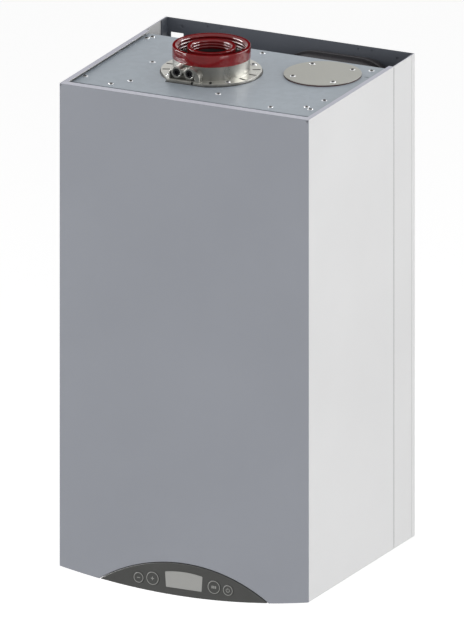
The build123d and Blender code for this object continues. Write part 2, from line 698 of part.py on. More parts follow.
with BuildPart() as ignition_electrode:
    rod((electrode_x, door_front - 14.0, electrode_z), TO_WALL, 6.9, 22.0)
    rod((electrode_x, door_front - 3.0, electrode_z), TO_WALL, 11.0, 3.0)
    for dx in (-2.5, 2.5):
        rod((electrode_x + dx, door_front, electrode_z), TO_WALL, 1.2, 50.0)
save(ignition_electrode, "ignition_electrode")

# ---------------------------------------------------------------------------------------------
# Fan, silencer, gas valve and ignition
# ---------------------------------------------------------------------------------------------
with BuildPart() as fan_housing:
    rod((fan_x, fan_back, fan_z), TO_FRONT, fan_r, fan_d)
    block((arm_x - arm_half, fan_front, fan_z), (arm_x + arm_half, fan_back, arm_z))
    block((fan_x - 30.0, fan_front + 5.0, chamber_base),
          (fan_x + 30.0, fan_back - 5.0, fan_z - fan_r + 12.0))
    rod((fan_x, fan_back - fan_wall, fan_z), TO_FRONT, fan_r - fan_wall, fan_d - 2 * fan_wall,
        mode=Mode.SUBTRACT)
    block((arm_x - arm_half + 4, fan_front + 4, fan_z), (arm_x + arm_half - 4, fan_back - 4, arm_z + 1),
          mode=Mode.SUBTRACT)
    rod((fan_x, fan_back + 1, fan_z), TO_FRONT, 24.0, fan_wall + 2.0, mode=Mode.SUBTRACT)
    rod((fan_x, fan_front - 1, fan_z), TO_WALL, fan_shaft_r + 2.0, fan_wall + 2.0, mode=Mode.SUBTRACT)
save(fan_housing, "fan_housing")

wheel_front = fan_front + (fan_d - wheel_t) / 2
with BuildPart() as fan_impeller:
    rod((fan_x, wheel_front, fan_z), TO_WALL, wheel_r, 2.0)
    with BuildSketch(front_plane(wheel_front)):
        with Locations((fan_x, fan_z)):
            with PolarLocations(wheel_r - 11.0, blades):
                Rectangle(18.0, 1.6, rotation=35)
    extrude(amount=-wheel_t)
    rod((fan_x, wheel_front, fan_z), TO_WALL, 9.0, 12.0)
    rod((fan_x, fan_front - motor_l + 4.0, fan_z), TO_WALL, fan_shaft_r, motor_l + 10.0)
save(fan_impeller, "fan_impeller")

with BuildPart() as fan_motor:
    rod((fan_x, fan_front, fan_z), TO_FRONT, motor_r, motor_l)
    fillet(fan_motor.edges().group_by(Axis.Y)[0], radius=4.0)
    rod((fan_x, fan_front + 1, fan_z), TO_FRONT, fan_shaft_r + running_gap, motor_l - 1.0,
        mode=Mode.SUBTRACT)
    block((fan_x - 12.0, fan_front - motor_l, fan_z - motor_r - 10.0),
          (fan_x + 12.0, fan_front - 6.0, fan_z - motor_r + 4))
save(fan_motor, "fan_motor")

silencer_l = 70.0
venturi_l = 34.0
with BuildPart() as air_silencer:
    rod((fan_x, fan_back, fan_z), TO_WALL, 28.0, venturi_l)
    block((fan_x - 38.0, fan_back + venturi_l, fan_z - 40.0),
          (fan_x + 30.0, fan_back + venturi_l + silencer_l, fan_z + 40.0))
    fillet(air_silencer.edges().filter_by(Axis.Y).group_by(SortBy.LENGTH)[-1], radius=8.0)
    rod((fan_x, fan_back + venturi_l / 2, fan_z), UP, 9.0, 40.0)
    rod((fan_x, fan_back - 1, fan_z), TO_WALL, 22.0, venturi_l + 10.0, mode=Mode.SUBTRACT)
    rod((fan_x, fan_back + venturi_l / 2, fan_z + 18), UP, 5.0, 30.0, mode=Mode.SUBTRACT)
    block((fan_x - 34.0, fan_back + venturi_l + 4.0, fan_z - 36.0),
          (fan_x + 26.0, fan_back + venturi_l + silencer_l - 4.0, fan_z + 36.0), mode=Mode.SUBTRACT)
    rod((fan_x - 4.0, fan_back + venturi_l + silencer_l + 1, fan_z), TO_FRONT, 20.0, 8.0,
        mode=Mode.SUBTRACT)
save(air_silencer, "air_silencer")

valve_w, valve_d, valve_h = valve_size
valve_left = gas_x + 15.0 - valve_w
valve_front = chamber_back - valve_d
mix_y = fan_back + venturi_l / 2
outlet_z = valve_z + 24.0
with BuildPart() as gas_valve:
    block((valve_left, valve_front, valve_z), (valve_left + valve_w, chamber_back, valve_z + valve_h))
    fillet(gas_valve.edges().filter_by(Axis.Z), radius=5.0)
    rod((valve_left + 22.0, chamber_back - 38.0, valve_z + valve_h), UP, 16.0, 26.0)
    rod((valve_left + 54.0, chamber_back - 38.0, valve_z + valve_h), UP, 13.0, 20.0)
    rod((gas_x, gas_y, valve_z - 8.0), UP, gas_pipe_r + 4.0, 8.0)
    rod((fan_x, valve_front - 6.0, outlet_z), TO_WALL, gas_pipe_r + 2.0, 6.0)
    rod((gas_x, gas_y, valve_z - 9.0), UP, gas_pipe_r + 0.3, 14.0, mode=Mode.SUBTRACT)
save(gas_valve, "gas_valve")

with BuildPart() as gas_pipe:
    pipe_run([(gas_tail_x, pipe_y, -tail_drop), (gas_tail_x, pipe_y, gas_run_z),
              (gas_tail_x, gas_y, gas_run_z),
              (gas_x, gas_y, gas_run_z), (gas_x, gas_y, valve_z)], 22.0, gas_pipe_r)
    tail(gas_tail_x, thread_34_r)
    rod((gas_tail_x, pipe_y, -tail_drop - 1), UP, gas_pipe_r - 1.0, 200.0, mode=Mode.SUBTRACT)
    pipe_run([(fan_x, valve_front - 6.0, outlet_z), (fan_x, mix_y, outlet_z),
              (fan_x, mix_y, fan_z + 40.0)], 14.0, 6.0)
save(gas_pipe, "gas_pipe")

coil_w, coil_d, coil_h = transformer_size
coil_x = fan_x - 10.0
terminal_l = 12.0
with BuildPart() as ignition_transformer:
    block((coil_x, chamber_back - coil_d, transformer_z),
          (coil_x + coil_w, chamber_back, transformer_z + coil_h))
    fillet(ignition_transformer.edges().filter_by(Axis.Y), radius=4.0)
    for x in (coil_x + 0.25 * coil_w, coil_x + 0.75 * coil_w):
        rod((x, chamber_back - coil_d / 2, transformer_z), DOWN, 5.0, terminal_l)
save(ignition_transformer, "ignition_transformer")

# ---------------------------------------------------------------------------------------------
# Plate exchanger and the two hydraulic groups that it joins
# ---------------------------------------------------------------------------------------------
plate_count = 16
plate_pitch = (plates_y[1] - plates_y[0]) / plate_count
nozzle_x = plates_half - 10.0
nozzle_z = (plates_z[0] + 16.0, plates_z[1] - 16.0)
nozzle_r = 6.0
with BuildPart() as plate_exchanger:
    block((-plates_half, plates_y[0], plates_z[0]), (plates_half, plates_y[1], plates_z[1]))
    fillet(plate_exchanger.edges().filter_by(Axis.Y), radius=16.0)
    for i in range(1, plate_count, 2):
        y = plates_y[0] + i * plate_pitch
        with BuildSketch(front_plane(y)):
            with Locations((0, sum(plates_z) / 2)):
                Rectangle(2 * plates_half + 2, plates_z[1] - plates_z[0] + 2)
                RectangleRounded(2 * plates_half - 3, plates_z[1] - plates_z[0] - 3, 14.5,
                                 mode=Mode.SUBTRACT)
        extrude(amount=-plate_pitch * 0.5, mode=Mode.SUBTRACT)
    block((-plates_half + 6, plates_y[0] + 4, plates_z[0] + 6),
          (plates_half - 6, plates_y[1] - 4, plates_z[1] - 6),
          mode=Mode.SUBTRACT)
    for x in (-nozzle_x, nozzle_x):
        for z in nozzle_z:
            rod((x, plates_y[1] + 1, z), TO_FRONT, nozzle_r, 10.0, mode=Mode.SUBTRACT)
save(plate_exchanger, "plate_exchanger")


block_front, block_rear = block_y
left_x = (-165.0, -68.0)
left_z = (bracket_top, 215.0)
stem_x = flow_x
stem_seat_z = left_z[1]
with BuildPart() as flow_manifold:
    block((left_x[0], block_front, 60.0), (left_x[1], block_rear, left_z[1]))
    fillet(flow_manifold.edges(), radius=6.0)
    for x in (flow_x, hot_x):
        rod((x, pipe_y, bracket_top), UP, 18.0, 60.0)
    tail(flow_x, thread_34_r)
    tail(hot_x, thread_12_r)
    tail_bore(flow_x, thread_34_r, 120.0)
    tail_bore(hot_x, thread_12_r, 120.0)
    rod((water_x[0], pipe_y, left_z[1] - 1), UP, water_pipe_r + 5.0, 13.0)
    rod((water_x[0], pipe_y, left_z[1] - 20), UP, water_pipe_r + 0.3, 40.0, mode=Mode.SUBTRACT)
    rod((stem_x, pipe_y, stem_seat_z - 40.0), UP, stem_r + running_gap, 41.0, mode=Mode.SUBTRACT)
    rod((stem_x, pipe_y, stem_seat_z - 85.0), UP, 15.0, 46.0, mode=Mode.SUBTRACT)
    # The boss of the safety valve points to the front.
    rod((stem_x, block_front + 1, relief_z), TO_FRONT, 13.0, 14.0)
    rod((stem_x, block_front + 10, relief_z), TO_FRONT, 6.0, 30.0, mode=Mode.SUBTRACT)
    for z in nozzle_z:
        rod((-nozzle_x, block_front + 10, z), TO_FRONT, nozzle_r, 12.0, mode=Mode.SUBTRACT)
save(flow_manifold, "flow_manifold")

valve_y = block_front - 13.0
relief_l = 22.0
relief_shaft_r = 4.0
with BuildPart() as safety_valve:
    rod((stem_x, valve_y, relief_z), TO_FRONT, 15.0, relief_l)
    rod((stem_x, valve_y - 11.0, relief_z), LEFT, 9.0, 30.0)
    chamfer(safety_valve.edges().group_by(Axis.Y)[0], length=1.2)
    rod((stem_x, valve_y - 6.0, relief_z), TO_FRONT, relief_shaft_r + running_gap, 30.0, mode=Mode.SUBTRACT)
save(safety_valve, "safety_valve")

knob_front = valve_y - relief_l - 0.3
with BuildPart() as safety_valve_knob:
    with BuildSketch(front_plane(knob_front)):
        with Locations((stem_x, relief_z)):
            Circle(14.0)
            with PolarLocations(14.5, 8):
                Circle(2.5, mode=Mode.SUBTRACT)
    extrude(amount=14.0)
    rod((stem_x, knob_front, relief_z), TO_WALL, relief_shaft_r, 12.0)
save(safety_valve_knob, "safety_valve_knob")

with BuildPart() as diverter_stem:
    rod((stem_x, pipe_y, stem_seat_z - 60.0), UP, stem_r, 72.0)
    rod((stem_x, pipe_y, stem_seat_z - 68.0), UP, 11.0, 12.0)
save(diverter_stem, "diverter_stem")

motor_base = stem_seat_z
with BuildPart() as diverter_motor:
    block((stem_x - 26.0, pipe_y - 24.0, motor_base), (stem_x + 26.0, pipe_y + 24.0, motor_base + 52.0))
    fillet(diverter_motor.edges().filter_by(Axis.Z), radius=7.0)
    rod((stem_x, pipe_y, motor_base + 52.0), UP, 17.0, 9.0)
    rod((stem_x, pipe_y, motor_base - 1), UP, stem_r + 0.6, 14.0 + stem_stroke, mode=Mode.SUBTRACT)
save(diverter_motor, "diverter_motor")

right_x = (58.0, 165.0)
right_z = (60.0, 150.0)
pump_bore = pump_r - 6.0
vent_x = pump_x + pump_r + 10.0
vent_cap_z = pump_z + 38.3
vent_shaft_r = 4.0
with BuildPart() as return_manifold:
    block((right_x[0], block_front, right_z[0]), (right_x[1], block_rear, right_z[1]))
    fillet(return_manifold.edges(), radius=6.0)
    for x in (cold_x, return_x):
        rod((x, pipe_y, bracket_top), UP, 18.0, 60.0)
    tail(cold_x, thread_12_r)
    tail(return_x, thread_34_r)
    rod((pump_x, block_rear, pump_z), TO_FRONT, pump_r, block_rear - block_front)
    block((pump_x - 20.0, block_front, right_z[1] - 10.0), (pump_x + 20.0, block_rear, pump_z - 20.0))
    block((pump_x, block_front + 16.0, pump_z - 14.0), (vent_x + 12.0, block_rear - 16.0, pump_z + 14.0))
    rod((vent_x, pipe_y, pump_z - 20.0), UP, 13.0, 58.0)
    rod((pump_x, pipe_y, pump_z), UP, water_pipe_r + 4.0, pump_r + 10.0)
    tail_bore(cold_x, thread_12_r, 60.0)
    tail_bore(return_x, thread_34_r, 150.0)
    rod((cold_x, pipe_y, 24.0), UP, sensor_bore_r, 90.0, mode=Mode.SUBTRACT)
    rod((pump_x, block_rear - 8.0, pump_z), TO_FRONT, pump_bore, 38.0, mode=Mode.SUBTRACT)
    rod((pump_x, block_front - 1, pump_z), TO_WALL, pump_bore - 8.0, 20.0, mode=Mode.SUBTRACT)
    rod((pump_x, pipe_y, pump_z), UP, water_pipe_r + 0.3, pump_r + 20.0, mode=Mode.SUBTRACT)
    rod((tap_x, pipe_y, bracket_top), UP, 12.0, 44.0)
    rod((tap_x, pipe_y, bracket_top - 1), UP, tap_stem_r + running_gap, 40.0, mode=Mode.SUBTRACT)
    rod((vent_x, pipe_y, pump_z + 20.0), UP, vent_shaft_r + running_gap, 30.0, mode=Mode.SUBTRACT)
    # Two cross webs hold the ends of the turbine's axle in the cold water inlet.
    for z in (turbine_z, turbine_z + turbine_l + 6.0):
        block((cold_x - sensor_bore_r, pipe_y - 1.5, z), (cold_x + sensor_bore_r, pipe_y + 1.5, z + 3.0))
        rod((cold_x, pipe_y, z - 1), UP, turbine_axle_r + running_gap, 5.0, mode=Mode.SUBTRACT)
    for z in nozzle_z:
        rod((nozzle_x, block_front + 10, z), TO_FRONT, nozzle_r, 12.0, mode=Mode.SUBTRACT)
save(return_manifold, "return_manifold")

vane_z = turbine_z + 4.5
with BuildPart() as flow_turbine:
    rod((cold_x, pipe_y, turbine_z), UP, turbine_axle_r, turbine_l + 9.0)
    rod((cold_x, pipe_y, vane_z), UP, 2.6, turbine_l)
    with BuildSketch(Plane.XY.offset(vane_z)):
        with Locations((cold_x, pipe_y)):
            with PolarLocations(turbine_r / 2, 6):
                Rectangle(turbine_r, 1.0)
            Circle(turbine_r, mode=Mode.INTERSECT)
    extrude(amount=turbine_l)
save(flow_turbine, "flow_turbine")

with BuildPart() as pump_motor:
    rod((pump_x, block_front, pump_z), TO_FRONT, 44.0, 8.0)
    rod((pump_x, block_front - 8.0, pump_z), TO_FRONT, 38.0, pump_motor_l - 8.0)
    fillet(pump_motor.edges().group_by(Axis.Y)[0], radius=5.0)
    block((pump_x - 30.0, block_front - 58.0, pump_z + 26.0),
          (pump_x + 30.0, block_front - 14.0, pump_z + 50.0))
    rod((pump_x, block_front + 1, pump_z), TO_FRONT, pump_shaft_r + running_gap, 55.0, mode=Mode.SUBTRACT)
save(pump_motor, "pump_motor")

wheel_y = block_front + 22.0
with BuildPart() as pump_impeller:
    rod((pump_x, wheel_y, pump_z), TO_WALL, pump_wheel_r, 2.5)
    rod((pump_x, wheel_y + 9.5, pump_z), TO_WALL, pump_wheel_r, 2.5)
    with BuildSketch(front_plane(wheel_y)):
        with Locations((pump_x, pump_z)):
            with PolarLocations(pump_wheel_r - 10.0, 7):
                Rectangle(18.0, 2.0, rotation=30)
            Circle(pump_wheel_r, mode=Mode.INTERSECT)
    extrude(amount=-10.0)
    rod((pump_x, block_front - 50.0, pump_z), TO_WALL, pump_shaft_r, 84.0)
    rod((pump_x, block_rear - 8.5, pump_z), TO_FRONT, 10.0, 5.0, mode=Mode.SUBTRACT)
save(pump_impeller, "pump_impeller")

with BuildPart() as air_vent_cap:
    rod((vent_x, pipe_y, vent_cap_z), UP, 9.0, 9.0)
    fillet(air_vent_cap.edges().group_by(Axis.Z)[-1], radius=2.0)
    rod((vent_x, pipe_y, vent_cap_z), DOWN, vent_shaft_r, 12.0)
    block((vent_x - 1.5, pipe_y - 8.0, vent_cap_z + 8.7), (vent_x + 1.5, pipe_y + 8.0, vent_cap_z + 11.7))
save(air_vent_cap, "air_vent_cap")

with BuildPart() as filling_knob:
    with BuildSketch(Plane.XY.offset(bracket_z - 34.0)):
        with Locations((tap_x, pipe_y)):
            Circle(12.0)
            with PolarLocations(12.8, 6):
                Circle(3.0, mode=Mode.SUBTRACT)
    extrude(amount=16.0)
    fillet(filling_knob.edges().group_by(Axis.Z)[0], radius=1.0)
    rod((tap_x, pipe_y, bracket_z - 18.0), UP, tap_stem_r, 50.0)
save(filling_knob, "filling_knob")

with BuildPart() as flow_pipe:
    rod((water_x[0], pipe_y, left_z[1] - 20.0), UP, water_pipe_r, water_stub_z + 15.0 - left_z[1] + 20.0)
    rod((water_x[0], pipe_y, left_z[1] - 21.0), UP, water_pipe_r - 1.0, 300.0, mode=Mode.SUBTRACT)
    ring((water_x[0], pipe_y, left_z[1] + 12.3), UP, water_pipe_r + 5.0, water_pipe_r - 1.0, 8.0)
save(flow_pipe, "flow_pipe")

shift_z = chamber_floor - 22.0
with BuildPart() as return_pipe:
    pipe_run([(pump_x, pipe_y, pump_z + pump_r - 2.0), (pump_x, pipe_y, shift_z),
              (water_x[1], pipe_y, shift_z),
              (water_x[1], pipe_y, water_stub_z + 15.0)], 16.0, water_pipe_r)
save(return_pipe, "return_pipe")

# ---------------------------------------------------------------------------------------------
# Expansion vessel and condensate trap
# ---------------------------------------------------------------------------------------------
vessel_z = vessel_top - vessel_h / 2
vessel_back = -frame_sheet
with BuildPart() as expansion_vessel:
    with BuildSketch(front_plane(vessel_back)):
        with Locations((vessel_x, vessel_z)):
            RectangleRounded(vessel_w - 8, vessel_h - 8, vessel_corner - 4)
    extrude(amount=vessel_t)
    outer_edges = expansion_vessel.edges().group_by(Axis.Y)
    fillet(outer_edges[0] + outer_edges[-1], radius=14.0)
    with BuildSketch(front_plane(vessel_back - vessel_t / 2 + 1.5)):
        with Locations((vessel_x, vessel_z)):
            RectangleRounded(vessel_w, vessel_h, vessel_corner)
    extrude(amount=3.0)
    rod((vessel_x, vessel_back - vessel_t / 2, vessel_z - vessel_h / 2 + 3), DOWN, 9.0, 14.0)
    with BuildSketch(front_plane(vessel_back - vessel_wall)):
        with Locations((vessel_x, vessel_z)):
            RectangleRounded(vessel_w - 24, vessel_h - 24, vessel_corner - 12)
    extrude(amount=vessel_t - 2 * vessel_wall, mode=Mode.SUBTRACT)
    rod((vessel_x, vessel_back - vessel_t / 2, vessel_z - vessel_h / 2 - 14), UP, 4.0, 40.0,
        mode=Mode.SUBTRACT)
save(expansion_vessel, "expansion_vessel")

hose_y = vessel_back - vessel_t / 2
hose_z = vessel_z - vessel_h / 2 - 11.0
with BuildPart() as vessel_hose:
    pipe_run([(vessel_x, hose_y, hose_z), (vessel_x, hose_y, hose_run_z),
              (vessel_x, block_rear, hose_run_z)], 30.0, 6.5)
    rod((vessel_x, hose_y, hose_z), DOWN, 10.0, 14.0)
    rod((vessel_x, block_rear, hose_run_z), TO_WALL, 10.0, 14.0)
save(vessel_hose, "vessel_hose")

trap_low, trap_high = trap_z
with BuildPart() as condensate_trap:
    rod((flue_x, trap_y, trap_low), UP, trap_r, trap_high - trap_low - 20.0)
    rod((flue_x, trap_y, trap_high - 20.0), UP, trap_r + 3.0, 12.0)
    fillet(condensate_trap.edges().group_by(Axis.Z)[0], radius=8.0)
    rod((flue_x, trap_y, trap_high - 8.0), UP, trap_tail_r, water_stub_z - trap_high + 8.0)
    rod((flue_x, trap_y, trap_low), DOWN, trap_tail_r - 1.0, trap_low + tail_drop)
    rod((flue_x, trap_y, -tail_drop), UP, trap_tail_r, spigot_l)
    rod((flue_x, trap_y, bracket_top), UP, trap_tail_r + 5.0, trap_low - bracket_top)
    rod((flue_x, trap_y, trap_low + 4), UP, trap_r - 2.5, trap_high - trap_low - 14.0, mode=Mode.SUBTRACT)
    rod((flue_x, trap_y, -tail_drop - 1), UP, trap_tail_r - 2.0, 600.0, mode=Mode.SUBTRACT)
save(condensate_trap, "condensate_trap")

# ---------------------------------------------------------------------------------------------
# Control fascia, window and buttons
# ---------------------------------------------------------------------------------------------
fascia_front = front_y - fascia_proud
face_back = fascia_front + fascia_wall
fascia_depth = fascia_back - fascia_front
# Each button: its name, its place on the fascia and its radius.
buttons = [("button_minus", -74.0, 0.5, 8.3), ("button_plus", -51.0, 2.3, 10.4),
           ("button_mode", 50.0, 2.5, 10.4), ("button_power", 73.0, 0.7, 8.3)]
button_gap = 0.3
button_proud = 0.8
button_travel = 1.2
button_collar = 1.2
button_stem_r = 1.75
switch_front = face_back + button_gap + 1.0 + button_travel + 0.4
board_front = switch_front + 3.6
board_t = 1.6
window_top = 15.8
window_low = -8.0
window_arch = 18.8
window_half = 31.0
post_x = 90.0


def lens_face(inset):
    """The fascia's outline: a large circle over the bowed lower edge."""
    with BuildSketch(mode=Mode.PRIVATE) as lens:
        with Locations((0, lens_centre_z)):
            Circle(lens_r - lens_gap - inset)
        with Locations((0, bow_centre_z)):
            Circle(bow_r - inset, mode=Mode.INTERSECT)
        fillet(lens.vertices(), radius=0.8)
    return lens.sketch


def window_face(inset):
    """The window's outline: nearly a rectangle, with an arched top."""
    low_half = window_half - 1.5 - inset
    top_half_w = window_half - inset
    with BuildSketch(mode=Mode.PRIVATE) as window:
        with BuildLine():
            Polyline((-top_half_w, window_top - inset), (-low_half, window_low + inset),
                     (low_half, window_low + inset), (top_half_w, window_top - inset))
            ThreePointArc((top_half_w, window_top - inset), (0, window_arch - inset),
                          (-top_half_w, window_top - inset))
        make_face()
        fillet(window.vertices(), radius=1.5)
    return window.sketch


with BuildPart() as control_fascia:
    with BuildSketch(front_plane(fascia_back)):
        add(lens_face(seam))
    extrude(amount=fascia_depth)
    fillet(control_fascia.edges().group_by(Axis.Y)[0], radius=0.8)
    with BuildSketch(front_plane(fascia_back)):
        add(lens_face(seam + fascia_wall))
    extrude(amount=fascia_depth - fascia_wall, mode=Mode.SUBTRACT)
    with BuildSketch(front_plane(fascia_back)):
        add(window_face(0))
        for name, x, z, r in buttons:
            with Locations((x, z)):
                Circle(r + button_gap)
    extrude(amount=fascia_depth + 1, mode=Mode.SUBTRACT)
    for x in (-post_x, post_x):
        rod((x, face_back - 0.5, 0), TO_WALL, 2.5, board_front - face_back + 0.5)
save(control_fascia, "control_fascia")

with BuildPart() as display_window:
    with BuildSketch(front_plane(face_back)):
        add(window_face(0.15))
    extrude(amount=fascia_wall - 0.2)
    with BuildSketch(front_plane(face_back + 1.0)):
        add(window_face(-1.2))
    extrude(amount=1.0)
save(display_window, "display_window")

with BuildPart() as display_board:
    block((-post_x - 6, board_front, -8.0), (post_x + 6, board_front + board_t, 8.0))
    block((-38.0, board_front, -10.0), (38.0, board_front + board_t, 22.0))
    block((-29.0, face_back + 1.3, -7.5), (29.0, board_front, 15.5))
    for name, x, z, r in buttons:
        block((x - 3.5, switch_front, z - 3.5), (x + 3.5, board_front, z + 3.5))
        rod((x, switch_front - 1, z), TO_WALL, button_stem_r + 0.1, 10.0, mode=Mode.SUBTRACT)
save(display_board, "display_board")

for name, x, z, r in buttons:
    with BuildPart() as button:
        rod((x, face_back + button_gap, z), TO_FRONT, r, fascia_wall + button_gap + button_proud)
        fillet(button.edges().group_by(Axis.Y)[0], radius=0.6)
        rod((x, face_back + button_gap, z), TO_WALL, r + button_collar, 1.0)
        rod((x, face_back + button_gap, z), TO_WALL, button_stem_r,
            board_front - face_back - button_gap - 0.4)
    save(button, name)

# ---------------------------------------------------------------------------------------------
# Control box
# ---------------------------------------------------------------------------------------------
box_low, box_high = box_z
box_half = box_w / 2
with BuildPart() as control_box:
    block((-box_half, fascia_back, box_low), (box_half, box_back, box_high))
    fillet(control_box.edges().filter_by(Axis.Z), radius=5.0)
    block((-box_half + box_wall, fascia_back + box_wall, box_low + box_wall),
          (box_half - box_wall, box_back - box_wall, box_high + 1), mode=Mode.SUBTRACT)
    block((-30.0, fascia_back - 1, 0), (30.0, fascia_back + box_wall + 1, 16.0), mode=Mode.SUBTRACT)
    for x in (-120.0, 120.0):
        for y in (fascia_back + 14.0, box_back - 14.0):
            rod((x, y, box_low + box_wall), UP, 3.5, 10.0)
    for i in range(6):
        block((-100.0 + i * 36.0, box_back - box_wall - 1, 30.0), (-80.0 + i * 36.0, box_back + 1, 42.0),
              mode=Mode.SUBTRACT)
save(control_box, "control_box")

board_z = box_low + box_wall + 10.0
board_front_y = fascia_back + 6.0
board_depth = box_d - 12.0
parts_top = board_z + board_t
with BuildPart() as main_board:
    block((-132.0, board_front_y, board_z), (132.0, board_front_y + board_depth, parts_top))
    block((-120.0, board_front_y + 0.17 * board_depth, parts_top),
          (-78.0, board_front_y + 0.69 * board_depth, parts_top + 34.0))
    for i in range(4):
        block((-60.0 + i * 24.0, board_front_y + 0.2 * board_depth, parts_top),
              (-42.0 + i * 24.0, board_front_y + 0.58 * board_depth, parts_top + 16.0))
    for i in range(3):
        rod((52.0 + i * 20.0, board_front_y + 0.34 * board_depth, parts_top), UP, 7.0, 22.0)
    for i in range(7):
        block((-118.0 + i * 34.0, board_front_y + 0.78 * board_depth, parts_top),
              (-92.0 + i * 34.0, board_front_y + 0.95 * board_depth, parts_top + 12.0))
save(main_board, "main_board")

with BuildPart() as control_box_lid:
    block((-box_half, fascia_back, box_high), (box_half, box_back, box_high + box_wall))
    fillet(control_box_lid.edges().filter_by(Axis.Z), radius=5.0)
    rim = box_wall + 0.3
    block((-box_half + rim, fascia_back + rim, box_high - 4.0), (box_half - rim, box_back - rim, box_high))
    block((-box_half + rim + 2, fascia_back + rim + 2, box_high - 5.0),
          (box_half - rim - 2, box_back - rim - 2, box_high),
          mode=Mode.SUBTRACT)
save(control_box_lid, "control_box_lid")
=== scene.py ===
# %% [markdown]
# # Dressing a wall-hung combi boiler
# The solids of this boiler were made elsewhere: painted casing, flue adapter, control fascia, and all the
# works inside. This lesson loads them as a fixed frame and gives them their looks. Nothing solid is moved or
# resized here: new pieces are only laid on, or stand for a node that they replace.

import json
import math

import bmesh
import bpy
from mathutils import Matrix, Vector


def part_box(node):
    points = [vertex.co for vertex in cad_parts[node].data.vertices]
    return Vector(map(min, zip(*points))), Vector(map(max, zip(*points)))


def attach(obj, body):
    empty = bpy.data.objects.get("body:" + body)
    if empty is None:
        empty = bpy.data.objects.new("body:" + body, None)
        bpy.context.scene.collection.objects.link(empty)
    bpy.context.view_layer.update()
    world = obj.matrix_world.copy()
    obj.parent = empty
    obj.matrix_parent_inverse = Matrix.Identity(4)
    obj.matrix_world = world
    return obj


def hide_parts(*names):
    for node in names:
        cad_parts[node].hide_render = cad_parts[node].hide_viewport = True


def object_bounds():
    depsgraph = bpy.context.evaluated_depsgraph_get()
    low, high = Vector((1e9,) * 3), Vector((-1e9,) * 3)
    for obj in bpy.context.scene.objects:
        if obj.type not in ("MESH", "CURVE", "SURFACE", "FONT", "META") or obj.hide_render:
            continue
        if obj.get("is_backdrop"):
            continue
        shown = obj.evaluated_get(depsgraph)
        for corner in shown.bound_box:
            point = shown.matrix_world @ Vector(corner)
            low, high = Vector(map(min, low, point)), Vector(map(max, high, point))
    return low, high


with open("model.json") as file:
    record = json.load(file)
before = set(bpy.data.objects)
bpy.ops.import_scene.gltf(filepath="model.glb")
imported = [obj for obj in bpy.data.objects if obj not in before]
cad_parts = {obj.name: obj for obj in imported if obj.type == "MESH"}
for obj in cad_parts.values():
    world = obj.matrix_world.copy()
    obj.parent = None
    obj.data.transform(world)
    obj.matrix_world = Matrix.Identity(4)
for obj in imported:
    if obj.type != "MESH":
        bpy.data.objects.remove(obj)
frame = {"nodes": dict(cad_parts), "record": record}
cad_box = [list(corner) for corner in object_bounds()]

# %% [markdown]
# ## The camera
# The picture that this boiler follows has no vanishing points: its edges stay parallel. An orthographic
# camera does the same. It looks from 26 degrees to the right of the front and 18 degrees above the horizon,
# and its orthographic scale is the height of the picture in metres.

# %% Place the camera
AZIMUTH, ELEVATION = math.radians(25.92), math.radians(17.8)
LOOK_AT = Vector((-0.0084, -0.180, 0.3707))
PICTURE_HEIGHT = 0.9224
DISTANCE = 3.0
away = Vector((math.sin(AZIMUTH) * math.cos(ELEVATION), -math.cos(AZIMUTH) * math.cos(ELEVATION),
               math.sin(ELEVATION)))
camera = bpy.data.objects.new("camera", bpy.data.cameras.new("camera"))
camera.data.type = "ORTHO"
camera.data.ortho_scale = PICTURE_HEIGHT
camera.location = LOOK_AT + DISTANCE * away
camera.rotation_mode = "QUATERNION"
camera.rotation_quaternion = (-away).to_track_quat("-Z", "Y")
bpy.context.scene.collection.objects.link(camera)
bpy.context.scene.camera = camera
bpy.context.scene.view_settings.view_transform = "Standard"
print("camera looks at", tuple(round(v, 3) for v in LOOK_AT))

# %% [markdown]
# ## The studio
# A studio for a product picture is a pale floor, an even sky and a few large soft lamps. The sky gives most
# of the light, so that a colour renders about as it is written. The Light Path node shows the camera, and
# also mirrors and glass, a plain white sky, whatever level lights the matt surfaces.

# %% Make the sky
SKY_LEVEL = 0.62
world = bpy.data.worlds.new("studio_sky")
world.use_nodes = True
bpy.context.scene.world = world
sky = world.node_tree
path = sky.nodes.new("ShaderNodeLightPath")
mirrored_or_through = sky.nodes.new("ShaderNodeMath")
mirrored_or_through.operation = "MAXIMUM"
seen = sky.nodes.new("ShaderNodeMath")
seen.operation = "MAXIMUM"
sky.links.new(path.outputs["Is Glossy Ray"], mirrored_or_through.inputs[0])
sky.links.new(path.outputs["Is Transmission Ray"], mirrored_or_through.inputs[1])
sky.links.new(path.outputs["Is Camera Ray"], seen.inputs[0])
sky.links.new(mirrored_or_through.outputs[0], seen.inputs[1])
level = sky.nodes.new("ShaderNodeMapRange")
level.inputs["To Min"].default_value = SKY_LEVEL
level.inputs["To Max"].default_value = 1.0
sky.links.new(seen.outputs[0], level.inputs["Value"])
sky.links.new(level.outputs["Result"], sky.nodes["Background"].inputs["Strength"])
sky.nodes["Background"].inputs["Color"].default_value = (1, 1, 1, 1)
print("sky strength for matt surfaces:", SKY_LEVEL)

# %% [markdown]
# The boiler hangs on a wall, so the floor lies well below it, where its shadow falls soft and faint. A little
# glow that only the camera sees brings the floor up to the white of the sky.

# %% Make the floor
FLOOR_Z = -0.62
FLOOR_HALF = 14.0
FLOOR_GREY = 0.93
GLOW_GREY = 0.36


def make_floor(name, z, half):
    """A large flat sheet that is only part of the studio."""
    sheet = bpy.data.meshes.new(name)
    corners = [(-half, -half, z), (half, -half, z), (half, half, z), (-half, half, z)]
    sheet.from_pydata(corners, [], [(0, 1, 2, 3)])
    floor = bpy.data.objects.new(name, sheet)
    bpy.context.scene.collection.objects.link(floor)
    floor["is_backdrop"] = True
    return floor


